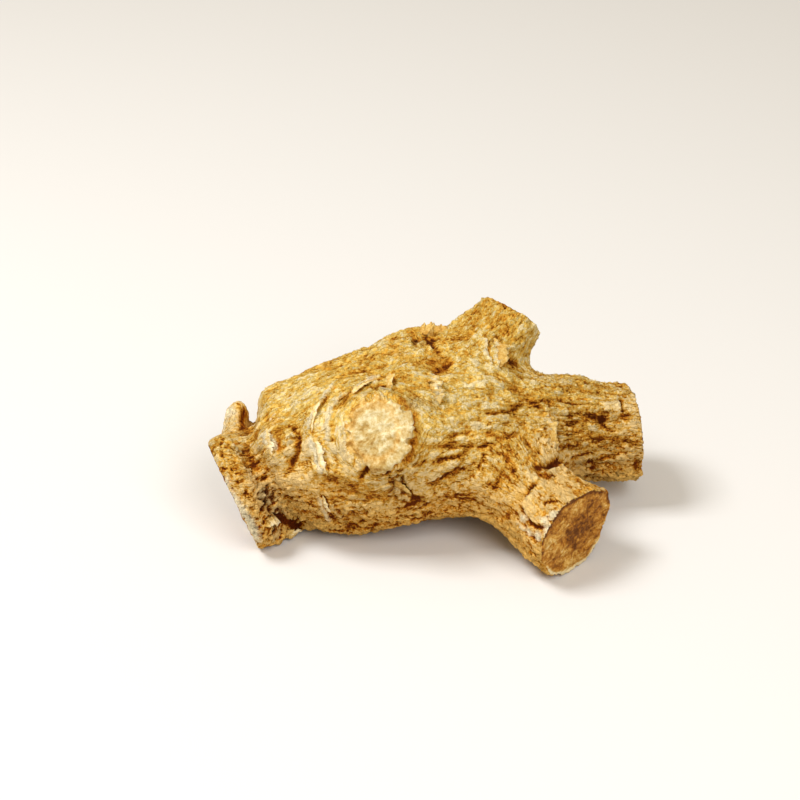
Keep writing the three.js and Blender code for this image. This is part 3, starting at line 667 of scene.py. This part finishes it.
def torn_lips(surface, relief, dark, ragged):
    """The relief and the painted shade with the torn lips added, and how white each point is torn. Left of
    a lip's path the skin stands up and drops as e to the minus the distance, and right of it a crack
    runs as a bell, with painted shade in it."""
    torn = np.zeros(len(relief))
    for path, rise, depth, width, white in LIPS:
        left, gap, held = side_of_path(surface, path)
        near = held * (gap < 4.5 * width)
        across = (left + ragged * width) / width
        outside = np.clip(across, 0, None)
        lip = np.exp(-outside * 1.3) * (across > 0)
        crack = bell((across + 0.55) / 0.5) * (across <= 0)
        relief = relief + near * (rise * lip - 0.75 * depth * crack)
        torn = np.maximum(torn, white * near * bell(outside / 0.8) * (across > 0))
        dark = np.maximum(dark, near * crack * min(1, depth))
    return relief, dark, torn


def creased(surface, relief, dark, ragged):
    """The relief and the painted shade with the creases added. Each crease is carved as a bell across its
    path, less of the finer relief stays in it, and its floor gets painted shade."""
    carved = np.zeros(len(relief))
    clear = np.zeros(len(relief))
    for path, depth, width, shade in CREASES:
        _, gap, held = side_of_path(surface, path)
        crack = held * bell((gap + ragged * 0.6) / (0.75 * width))
        carved += 0.7 * depth * crack
        clear = np.maximum(clear, crack)
        dark = np.maximum(dark, shade * crack)
    return relief * (1 - 0.6 * clear) - carved, dark


def dress_skin(surface, sizes):
    """Moves the even copy of the solid into the root's real surface and keeps what the materials read."""
    cut = surface.spread(cut_faces(surface), 1)
    stump = Stump(surface.points)
    bare = 1 - surface.spread(np.clip(cut + stump.on, 0, 1), 3)
    smooth_form(surface, cut, stump.on)
    frill = stump.fray(surface)
    # Hollows of the broad form, such as the neck and the crotches, from how far each point lies inside the
    # average of its surroundings; the skin is painted darker there as shade.
    gully = np.einsum("ij,ij->i", surface.spread(surface.points, 160) - surface.points, surface.normals)

    points = surface.points
    parted = parted_by_stump(points)
    limbs = [
        (*limb_place(parted if rows is MAIN_ROOT else points, rows), ring) for _, rows, ring in LIMBS
    ]
    where = regions(points, limbs)
    patches = {name: patchwork(points, rows) for name, rows in PATCHES.items()}
    crumbled = patches["crumbled"] * bare
    holes = ease(0.1, 0.5, lattice_noise(points / 0.6, 541))
    lumps = np.abs(lattice_noise(points / 1.3, 511)) + 0.6 * np.abs(lattice_noise(points / 0.7, 521)) - 0.5
    ragged = 0.35 * lattice_noise(points / 0.9, 700) + 0.25 * lattice_noise(points / 2.2, 701)

    relief = bare * skin_relief(points, limbs, where, sizes, lumps, crumbled, holes)
    # Painted shade in the holes between crumbs and in the crown's holes.
    dark = holes * np.clip(0.8 * crumbled + 0.45 * where.crown * bare, 0, 1)
    relief, dark, torn = torn_lips(surface, relief, dark, ragged)
    relief, dark = creased(surface, relief, dark, ragged)
    relief += stump.relief(points, frill, lumps)
    # Painted shadow under the stump's raised right edge.
    dark = np.maximum(dark, 0.5 * stump.right * stump.under_edge)
    # The cut faces are dished and fibrous.
    fibres = lattice_noise(points * (0.35, 0.9, 0.9), 901) + 0.6 * rough_noise(points / 1.2, 902, 3)
    relief += surface.spread(cut, 3) ** 2 * (0.28 * fibres - 0.2)
    surface.push(relief)

    close = surface.spread(relief, 6)
    crest = bare * (relief - close)
    hollow = bare * (close - surface.spread(close, 60))
    shares = np.stack([limb_share(gap, LIMBS_MIX_OVER) for _, _, gap, _ in limbs], axis=1)
    behind = (measured(CROWN_CUT[0]) - surface.points) @ unit(CROWN_CUT[1])
    rim = ease(0.02, 0.5, surface.spread(cut, 8)) * (1 - cut)
    # A pale band along the crown's cut edge, low down: partly pale torn cork, partly painted light on that
    # side.
    rim += 2.2 * where.crown * (1 - cut) * bell(behind / 1.3) * (1 - ease(9, 15, surface.points[:, 2]))
    kept = {
        "crest": crest / crest.std(),
        "hollow": hollow / hollow.std(),
        # Painted shade in the broad hollows of the form.
        "gully": ease(0.15, 1.1, gully),
        # Painted shade in cracks, creases, holes and under the stump's edge.
        "dark": surface.spread(dark, 1),
        "torn": surface.spread(torn, 1),
        "cut": surface.spread(cut, 1),
        "cut_edge": 1 - ease(0.75, 1.0, surface.spread(cut, 12)),
        "rim": rim,
        "stump": stump.on,
        "core": stump.core,
        "rays": stump.rays,
        "collar": stump.collar,
        "crown": where.crown,
        "wrinkled": where.wrinkled,
        "tone": 0.55 * where.shoulder + 0.5 * where.front + 0.1 * where.tail + 0.5 * where.crown,
        "flow_shares": shares / shares.sum(axis=1, keepdims=True),
        **patches,
    }
    for (name, _, _), (along, round_place, _, ring) in zip(LIMBS, limbs):
        kept[name] = np.column_stack([along, round_place * ring])
    for name, values in kept.items():
        surface.store(name, values)


def add(tree, kind, inputs=None, stops=(), **settings):
    """A new node with its settings, its inputs set to values or linked to other nodes' outputs, and a
    ramp's stops: places from 0 to 1 with hex or linear colours."""
    node = tree.nodes.new(kind)
    for name, value in settings.items():
        setattr(node, name, value)
    for name, value in (inputs or {}).items():
        if isinstance(value, bpy.types.NodeSocket):
            tree.links.new(value, node.inputs[name])
        else:
            node.inputs[name].default_value = value
    while stops and len(node.color_ramp.elements) < len(stops):
        node.color_ramp.elements.new(0.5)
    for number, (place, colour) in enumerate(stops):
        node.color_ramp.elements[number].position = place
        node.color_ramp.elements[number].color = linear(colour) if isinstance(colour, str) else colour
    return node


def new_material(name, roughness, specular):
    """A material with its shader, and the place on the object that its patterns read."""
    material = bpy.data.materials.new(name)
    material.use_nodes = True
    tree = material.node_tree
    shader = tree.nodes["Principled BSDF"]
    shader.inputs["Roughness"].default_value = roughness
    shader.inputs["Specular IOR Level"].default_value = specular
    return material, tree, shader, add(tree, "ShaderNodeTexCoord").outputs["Object"]


def gathered(tree, place, kept, noises):
    """What a material's levels are summed from, by name: the height above the floor, the numbers kept for
    each point, and noises. A noise is given as what it reads, the width of its blotches in millimetres,
    its detail and its roughness."""
    fields = {"height": add(tree, "ShaderNodeSeparateXYZ", {"Vector": place}).outputs["Z"]}
    for name in kept:
        fields[name] = add(tree, "ShaderNodeAttribute", attribute_name=name).outputs["Fac"]
    for name, (where, width, detail, rough) in noises.items():
        inputs = {"Vector": where, "Scale": 0.5 / (width * MM), "Detail": detail, "Roughness": rough}
        fields[name] = add(tree, "ShaderNodeTexNoise", inputs).outputs["Fac"]
    return fields


def weighed(tree, fields, weights, start, least=0.0, most=None):
    """A start value plus each field times its weight, held between least and most if most is given."""
    total = start
    for name, weight in weights.items():
        inputs = {0: fields[name], 1: weight, 2: total}
        total = add(tree, "ShaderNodeMath", inputs, operation="MULTIPLY_ADD").outputs[0]
    if most is not None:
        total = add(tree, "ShaderNodeClamp", {"Value": total, "Min": least, "Max": most}).outputs[0]
    return total


def strokes(tree, width, length, detail):
    """Noise drawn out along each limb: strokes about so many millimetres wide and long. Each limb has its
    own noise in its own places, and they are mixed by the limbs' shares."""
    shares = add(tree, "ShaderNodeAttribute", attribute_name="flow_shares").outputs["Vector"]
    shares = add(tree, "ShaderNodeSeparateXYZ", {"Vector": shares})
    total = 0.0
    for (name, _, _), share in zip(LIMBS, shares.outputs):
        flow = add(tree, "ShaderNodeAttribute", attribute_name=name).outputs["Vector"]
        drawn = add(tree, "ShaderNodeMapping", {"Vector": flow, "Scale": (width / length, 1, 1)}).outputs[0]
        inputs = {"Vector": drawn, "Scale": 0.5 / width, "Detail": detail, "Roughness": 0.65}
        fac = add(tree, "ShaderNodeTexNoise", inputs).outputs["Fac"]
        inputs = {0: fac, 1: share, 2: total}
        total = add(tree, "ShaderNodeMath", inputs, operation="MULTIPLY_ADD").outputs[0]
    return total


def threads(tree, fac, width):
    """Fine lines, 1 where a noise passes its middle and 0 beyond the width on either side."""
    middle = add(tree, "ShaderNodeMath", {0: fac, 1: 0.5}, operation="SUBTRACT").outputs[0]
    apart = add(tree, "ShaderNodeMath", {0: middle}, operation="ABSOLUTE").outputs[0]
    inputs = {"Value": apart, "From Min": 0.0, "From Max": width, "To Min": 1.0, "To Max": 0.0}
    return add(tree, "ShaderNodeMapRange", inputs, interpolation_type="SMOOTHSTEP").outputs[0]


def finished(tree, shader, colour, coats, height, distance):
    """Gives the shader a colour with coats laid over it, each by its share from 0 to 1, and a bump that is
    so many millimetres high."""
    for share, coat in coats:
        colour = add(tree, "ShaderNodeMix", {0: share, 6: colour, 7: coat}, data_type="RGBA").outputs[2]
    tree.links.new(colour, shader.inputs["Base Color"])
    bump = add(tree, "ShaderNodeBump", {"Height": height, "Strength": 1.0, "Distance": distance * MM})
    tree.links.new(bump.outputs["Normal"], shader.inputs["Normal"])


def dried_skin(colours):
    """Dried ginseng skin: thin cork that shrank into folds over yellow flesh. It is matt, its creases
    keep a deep amber with painted shade in them, its crests are rubbed to a pale powder, and low down
    it is painted more orange as warm light bounced up from below."""
    material, tree, shader, place = new_material("dried_root_skin", 0.9, 0.08)
    fields = gathered(tree, place, (
        "crown", "wrinkled", "crest", "hollow", "tone", "gully", "dark", "amber", "stain", "powder", "rim",
        "torn", "white",
    ), {
        "dust": (place, 0.13, 2.0, 0.7),
        "speck": (place, 0.26, 3.0, 0.75),
        "grain": (place, 0.45, 3.0, 0.7),
        "crazed": (place, 0.5, 3.0, 0.65),
        "curled": (place, 0.8, 2.0, 0.55),
        "blotch": (place, 1.3, 4.0, 0.6),
        "thin": (place, 3.4, 3.0, 0.6),
        "patch": (place, 5.0, 3.0, 0.55),
    })
    # Where the crown breaks the limbs' lines, grain takes the place of strokes.
    along = strokes(tree, 0.34, 0.8, 3.0)
    inputs = {0: fields["crown"], 2: along, 3: fields["grain"]}
    fields["stroke"] = add(tree, "ShaderNodeMix", inputs).outputs[0]
    fields["band"] = strokes(tree, 1.7, 5.0, 3.0)
    fields["slits"] = threads(tree, strokes(tree, 0.9, 2.8, 3.0), 0.03)
    fields["cracked"] = threads(tree, fields["crazed"], 0.03)
    fields["edges"] = threads(tree, strokes(tree, 0.55, 1.6, 4.0), 0.04)
    fields["curls"] = threads(tree, fields["curled"], 0.06)
    contrast = weighed(tree, fields, {"wrinkled": 0.8}, 0.5)
    apart = weighed(tree, fields, {"speck": 1.0}, -0.5)
    fields["grit"] = add(tree, "ShaderNodeMath", {0: apart, 1: contrast}, operation="MULTIPLY").outputs[0]

    # The level picks the colour on each ramp, from the floor of a crease to a crest, and painted shade
    # lowers it in hollows, cracks, creases and holes.
    fields["level"] = weighed(tree, fields, {
        "crest": 0.055, "hollow": 0.075, "tone": 0.09, "gully": -0.12, "dark": -0.3, "amber": -0.09,
        "grit": 0.85, "stroke": 0.65, "band": 0.75, "blotch": 0.45, "patch": 0.6, "slits": -0.2,
        "cracked": -0.1, "edges": 0.14,
    }, -0.615)
    # Low down the level is pushed apart and the skin is painted more orange: painted light and shade on the
    # low wrinkles, and painted warm light bounced up from below.
    fields["under"] = weighed(tree, fields, {"height": -0.055 / MM, "patch": 0.8}, 0.85, most=0.88)
    inputs = {0: fields["under"], 1: weighed(tree, fields, {"level": 1.4}, -0.74), 2: fields["level"]}
    level = add(tree, "ShaderNodeMath", inputs, operation="MULTIPLY_ADD").outputs[0]
    # Patches of the flesh's own orange show through where the cork is thinnest.
    bared = weighed(tree, fields, {"thin": 3.0, "amber": 1.0, "grit": 0.8}, -1.8, most=0.9)
    # Low down the orange flesh is laid on as painted warm light bounced up from below.
    bared = add(tree, "ShaderNodeMath", {0: bared, 1: fields["under"]}, operation="MAXIMUM").outputs[0]
    stained = weighed(tree, fields, {"stain": 1.25, "stroke": 1.6}, -1.2, most=0.75)
    # The powder leans to raised places and is kept off the underside: partly rubbed cork, partly painted
    # light on the lit tops.
    fields["powdered"] = weighed(tree, fields, {
        "powder": 0.95, "crest": 0.1, "hollow": 0.15, "rim": 0.5, "curls": 0.45, "speck": 2.2,
        "stroke": 1.4, "under": -0.7,
    }, -2.5, most=0.9)
    torn = weighed(tree, fields, {"torn": 1.7, "speck": 0.9}, -0.75, most=1.0)
    white = weighed(tree, fields, {"white": 1.6, "speck": 1.6, "stroke": 1.0}, -1.95)
    torn = add(tree, "ShaderNodeMath", {0: torn, 1: white}, operation="MAXIMUM", use_clamp=True).outputs[0]

    skin = add(tree, "ShaderNodeValToRGB", {"Fac": level}, stops=(
        (0.02, colours.crease), (0.2, "#98560E"), (0.36, "#C98A28"), (0.52, colours.skin),
        (0.7, "#E8C76E"), (0.9, colours.crest),
    )).outputs["Color"]
    flesh = add(tree, "ShaderNodeValToRGB", {"Fac": level}, stops=(
        (0.06, "#6E2C02"), (0.36, "#AC5C04"), (0.58, "#D0881C"), (0.9, "#EAB450"),
    )).outputs["Color"]
    grime = add(tree, "ShaderNodeValToRGB", {"Fac": level}, stops=(
        (0.06, "#2E1E0E"), (0.36, "#6C4E2A"), (0.6, "#9E8050"), (0.86, "#D2BC8C"),
    )).outputs["Color"]
    chalk = add(tree, "ShaderNodeValToRGB", {
        "Fac": weighed(tree, fields, {"speck": 1.3, "stroke": 0.7}, -0.5),
    }, stops=((0.25, "#DAB060"), (0.45, "#EECF88"), (0.65, "#FAE9BE"))).outputs["Color"]
    coats = ((bared, flesh), (stained, grime), (fields["powdered"], chalk), (torn, colours.torn))
    height = weighed(tree, fields, {
        "grit": 0.6, "stroke": 0.9, "dust": 0.2, "blotch": 0.5, "slits": -0.3, "cracked": -0.2,
        "edges": 0.25, "powdered": 0.2,
    }, 0.0)
    finished(tree, shader, skin, coats, height, 0.5)
    return material


def cut_flesh():
    """Dried root flesh cut across with a knife and dried again: brown, faintly glossy and fibrous, with
    the thin cork pale round its edge."""
    material, tree, shader, place = new_material("knife_cut_flesh", 0.78, 0.2)
    inputs = {"Vector": place, "Rotation": (0.3, 0.5, 0.6), "Scale": (1, 0.35, 1)}
    drawn = add(tree, "ShaderNodeMapping", inputs).outputs[0]
    fields = gathered(tree, place, ("cut_edge",), {
        "fibre": (drawn, 0.3, 5.0, 0.75),
        "creased": (drawn, 0.8, 4.0, 0.65),
        "blotch": (drawn, 1.7, 4.0, 0.65),
        "patch": (place, 2.0, 2.0, 0.6),
        "broad": (place, 3.4, 2.0, 0.6),
    })
    fields["lines"] = threads(tree, fields["creased"], 0.04)
    # The rind comes and goes round the edge; it is painted darker near the top as shade and palest low down
    # as painted light.
    rind = weighed(tree, fields, {"patch": 3.0, "height": -0.16 / MM}, -0.3, least=-0.6, most=1.0)
    inputs = {0: fields["cut_edge"], 1: rind}
    fields["rind"] = add(tree, "ShaderNodeMath", inputs, operation="MULTIPLY").outputs[0]
    level = weighed(tree, fields, {
        "fibre": 1.5, "blotch": 1.2, "broad": 1.7, "lines": -0.12, "rind": 0.8,
    }, -1.74)
    flesh = add(tree, "ShaderNodeValToRGB", {"Fac": level}, stops=(
        (0.1, "#6A3A0A"), (0.34, "#A8681A"), (0.54, "#CC9038"), (0.72, "#E4BA66"), (0.92, "#F6E2B0"),
    )).outputs["Color"]
    height = weighed(tree, fields, {"fibre": 0.8, "blotch": 0.6, "lines": -0.2}, 0.0)
    finished(tree, shader, flesh, (), height, 0.5)
    return material


def torn_cork():
    """Torn cork: a thin dry flake, brown where it leaves the skin and bleached at its ragged edge."""
    material, tree, shader, place = new_material("torn_cork", 0.9, 0.2)
    fields = gathered(tree, place, ("torn",), {
        "speck": (place, 0.22, 3.0, 0.75),
        "blotch": (place, 0.9, 3.0, 0.6),
    })
    level = weighed(tree, fields, {"torn": 0.55, "speck": 0.9, "blotch": 0.6}, -0.5)
    cork = add(tree, "ShaderNodeValToRGB", {"Fac": level}, stops=(
        (0.1, "#8F5A1C"), (0.3, "#BE8E3C"), (0.5, "#DBB96C"), (0.7, "#EDD9A8"), (0.9, "#F7EBCC"),
    )).outputs["Color"]
    finished(tree, shader, cork, (), weighed(tree, fields, {"speck": 0.7, "blotch": 0.5}, 0.0), 0.3)
    return material


def stump_flesh():
    """The stump's old wound: pale, chalky flesh with a broken orange ring near its rim."""
    material, tree, shader, place = new_material("stump_flesh", 0.88, 0.2)
    fields = gathered(tree, place, ("rays", "core", "collar"), {
        "speck": (place, 0.24, 3.0, 0.7),
        "fibre": (place, 0.5, 4.0, 0.7),
        "blotch": (place, 2.2, 4.0, 0.6),
        "patch": (place, 3.0, 2.0, 0.6),
    })
    level = weighed(tree, fields, {"fibre": 0.9, "blotch": 1.0, "rays": 0.16, "speck": 0.6}, -0.73)
    # The ring is white on this ramp, and noise breaks it up.
    ring = weighed(tree, fields, {"core": 1.0, "blotch": 0.3}, -0.15)
    fields["ring"] = add(tree, "ShaderNodeValToRGB", {"Fac": ring}, stops=(
        (0.54, "#000000"), (0.66, "#FFFFFF"), (0.70, "#FFFFFF"), (0.84, "#000000"),
    )).outputs["Color"]
    broken = weighed(tree, fields, {"ring": 0.6, "blotch": -1.4, "patch": -2.2}, 1.75, most=0.75)
    pale = add(tree, "ShaderNodeValToRGB", {"Fac": level}, stops=(
        (0.14, "#8C6328"), (0.34, "#B39150"), (0.48, "#C6AD74"), (0.74, "#E6DAB2"),
    )).outputs["Color"]
    worn = add(tree, "ShaderNodeValToRGB", {"Fac": level}, stops=(
        (0.14, "#7E4A10"), (0.4, "#BE8A38"), (0.6, "#D8B062"), (0.8, "#EED8A0"),
    )).outputs["Color"]
    height = weighed(tree, fields, {"fibre": 0.7, "blotch": 0.6, "speck": 0.4}, 0.0)
    finished(tree, shader, pale, ((broken, worn), (fields["collar"], worn)), height, 0.4)
    return material


def face_means(mesh, name):
    """The mean of a kept number over each face's corners."""
    values = np.empty(len(mesh.vertices), np.float32)
    mesh.attributes[name].data.foreach_get("value", values)
    corners = np.empty(len(mesh.loops), np.int32)
    mesh.loops.foreach_get("vertex_index", corners)
    starts = np.empty(len(mesh.polygons), np.int32)
    mesh.polygons.foreach_get("loop_start", starts)
    return np.add.reduceat(values[corners], starts) / np.diff(np.append(starts, len(corners)))


class ROOT_OT_skin(bpy.types.Operator):
    """Makes the root's surface over a copy of the solid"""

    bl_idname = "root.skin"
    bl_label = "Root surface"

    def execute(self, context):
        sizes = context.scene.root_sizes
        mesh = remeshed_copy(NODE, sizes.voxel)
        mesh.name = "root_surface"
        dress_skin(Surface(mesh), sizes)
        mesh.materials.clear()
        for material in (dried_skin(context.scene.root_colours), cut_flesh(), stump_flesh()):
            mesh.materials.append(material)
        index = np.where(face_means(mesh, "cut") > 0.5, 1, 0)
        index = np.where(face_means(mesh, "stump") > 0.5, 2, index)
        mesh.polygons.foreach_set("material_index", index.astype(np.int32))
        mesh.polygons.foreach_set("use_smooth", np.ones(len(mesh.polygons), bool))
        piece = bpy.data.objects.new("root_surface", mesh)
        context.collection.objects.link(piece)
        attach(piece, BODY)
        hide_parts(NODE)
        return {"FINISHED"}


def flake_sheet(points, normals, number, path, width, stand, roll, white):
    """A flake's points on a grid and how white each is. Across the flake, v runs from its root at 0 to
    its free edge at 1: it leaves the skin under its root, stands up as v to the power 1.6 and rolls over
    beyond the path as v to the fourth. Its free edge is ragged, and its ends taper off."""
    at = np.linspace(0, 1, FLAKE_ROWS)
    path = measured(path)
    lengths = np.concatenate([[0], np.cumsum(np.linalg.norm(np.diff(path, axis=0), axis=1))])
    line = np.stack([np.interp(at * lengths[-1], lengths, path[:, i]) for i in range(3)], axis=1)
    near = np.array([np.argmin(((points - spot) ** 2).sum(axis=1)) for spot in line])
    normal = unit(normals[near])
    line += normal * np.einsum("ij,ij->i", points[near] - line, normal)[:, None]
    left = unit(np.cross(normal, np.gradient(line, axis=0)))
    u, v = np.meshgrid(at, np.linspace(0, 1, FLAKE_COLUMNS), indexing="ij")
    own = np.full(u.size, 9.7 * number)
    seeds = np.column_stack([u.ravel() * lengths[-1] / 0.55, v.ravel() * 0.6, own])
    ragged = (lattice_noise(seeds, 31) + 0.6 * lattice_noise(seeds * 2.3, 32)).reshape(u.shape)
    taper = np.sqrt(np.clip(4.4 * u * (1 - u), 0, 1))
    across = width * taper * ((1 - v) - (roll * v ** 4 + 0.32 * ragged * v ** 2))
    height = stand * taper * v ** 1.6 * (1 + 0.45 * ragged) - 0.25 * (1 - v) - 0.3 * (1 - taper)
    sheet = line[:, None] + left[:, None] * across[..., None] + normal[:, None] * height[..., None]
    return sheet.reshape(-1, 3), white * (0.35 + 0.65 * v.ravel()) * taper.ravel()


class ROOT_OT_flakes(bpy.types.Operator):
    """Makes the curled flakes of torn skin along the scars"""

    bl_idname = "root.flakes"
    bl_label = "Torn flakes"

    def execute(self, context):
        surface = Surface(bpy.data.objects["root_surface"].data)
        normals = surface.spread(surface.normals, 12)
        sheets = [flake_sheet(surface.points, normals, n, *flake) for n, flake in enumerate(FLAKES)]
        corner = (np.arange(FLAKE_ROWS - 1)[:, None] * FLAKE_COLUMNS + np.arange(FLAKE_COLUMNS - 1)).ravel()
        quads = corner[:, None] + (0, FLAKE_COLUMNS, FLAKE_COLUMNS + 1, 1)
        points = np.concatenate([points for points, _ in sheets]) * MM
        faces = np.concatenate([quads + n * FLAKE_ROWS * FLAKE_COLUMNS for n in range(len(sheets))])
        mesh = bpy.data.meshes.new("torn_flakes")
        mesh.from_pydata(points.tolist(), [], faces.tolist())
        torn = np.concatenate([white for _, white in sheets]).astype(np.float32)
        mesh.attributes.new("torn", "FLOAT", "POINT").data.foreach_set("value", torn)
        mesh.materials.append(torn_cork())
        mesh.polygons.foreach_set("use_smooth", np.ones(len(faces), bool))
        piece = bpy.data.objects.new("torn_flakes", mesh)
        context.collection.objects.link(piece)
        wall = piece.modifiers.new("Thickness", "SOLIDIFY")
        wall.thickness = context.scene.root_sizes.flake
        wall.offset = 0
        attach(piece, BODY)
        return {"FINISHED"}


class ROOT_OT_stage(bpy.types.Operator):
    """Adds the floor, the lights and the camera"""

    bl_idname = "root.stage"
    bl_label = "Stage, lights and camera"

    def execute(self, context):
        colours = context.scene.root_colours
        level = np.cos(CAMERA_ELEVATION)
        right = (np.cos(CAMERA_AZIMUTH), np.sin(CAMERA_AZIMUTH), 0)
        toward = (
            np.sin(CAMERA_AZIMUTH) * level, -np.cos(CAMERA_AZIMUTH) * level, np.sin(CAMERA_ELEVATION))
        camera = bpy.data.objects.new("camera", bpy.data.cameras.new("camera"))
        context.collection.objects.link(camera)
        camera.data.lens = LENS
        camera.data.clip_start = 0.01
        turn = Matrix([right, np.cross(toward, right), toward]).transposed().to_4x4()
        camera.matrix_world = Matrix.Translation(Vector(CAMERA_AT) * MM) @ turn
        context.scene.camera = camera

        floor = bpy.data.meshes.new("floor")
        far = FLOOR_HALF
        corners = [(-far, -far, 0), (far, -far, 0), (far, far, 0), (-far, far, 0)]
        floor.from_pydata(corners, [], [(0, 1, 2, 3)])
        ground = bpy.data.objects.new("floor", floor)
        context.collection.objects.link(ground)
        pale = bpy.data.materials.new("pale_floor")
        pale.use_nodes = True
        pale.node_tree.nodes["Principled BSDF"].inputs["Base Color"].default_value = colours.floor
        pale.node_tree.nodes["Principled BSDF"].inputs["Roughness"].default_value = 0.9
        floor.materials.append(pale)

        for name, place, size, power in LAMPS:
            light = bpy.data.lights.new(name, "AREA")
            light.size = size
            light.energy = power
            lamp = bpy.data.objects.new(name, light)
            context.collection.objects.link(lamp)
            lamp.location = place
            lamp.rotation_mode = "QUATERNION"
            lamp.rotation_quaternion = (Vector(LAMPS_FACE) - Vector(place)).to_track_quat("-Z", "Y")
        world = bpy.data.worlds.new("studio")
        world.use_nodes = True
        world.node_tree.nodes["Background"].inputs["Color"].default_value = colours.studio
        world.node_tree.nodes["Background"].inputs["Strength"].default_value = STUDIO_STRENGTH
        context.scene.world = world
        context.scene.view_settings.view_transform = "Standard"
        return {"FINISHED"}


class ROOT_PT_panel(bpy.types.Panel):
    """The sidebar's list of sizes, colours and operators"""

    bl_idname = "ROOT_PT_panel"
    bl_label = "Dried root"
    bl_space_type = "VIEW_3D"
    bl_region_type = "UI"
    bl_category = "Root"

    def draw(self, context):
        for name in RootSizes.__annotations__:
            self.layout.prop(context.scene.root_sizes, name)
        for name in RootColours.__annotations__:
            self.layout.prop(context.scene.root_colours, name)
        for operator in OPERATORS:
            self.layout.operator(operator.bl_idname)


OPERATORS = (ROOT_OT_skin, ROOT_OT_flakes, ROOT_OT_stage)
CLASSES = (RootSizes, RootColours, *OPERATORS, ROOT_PT_panel)


def register():
    for cls in CLASSES:
        bpy.utils.register_class(cls)
    bpy.types.Scene.root_sizes = bpy.props.PointerProperty(type=RootSizes)
    bpy.types.Scene.root_colours = bpy.props.PointerProperty(type=RootColours)


def unregister():
    del bpy.types.Scene.root_sizes
    del bpy.types.Scene.root_colours
    for cls in reversed(CLASSES):
        bpy.utils.unregister_class(cls)


def main():
    register()
    bpy.ops.root.skin()
    bpy.ops.root.flakes()
    bpy.ops.root.stage()


if __name__ == "__main__":
    main()
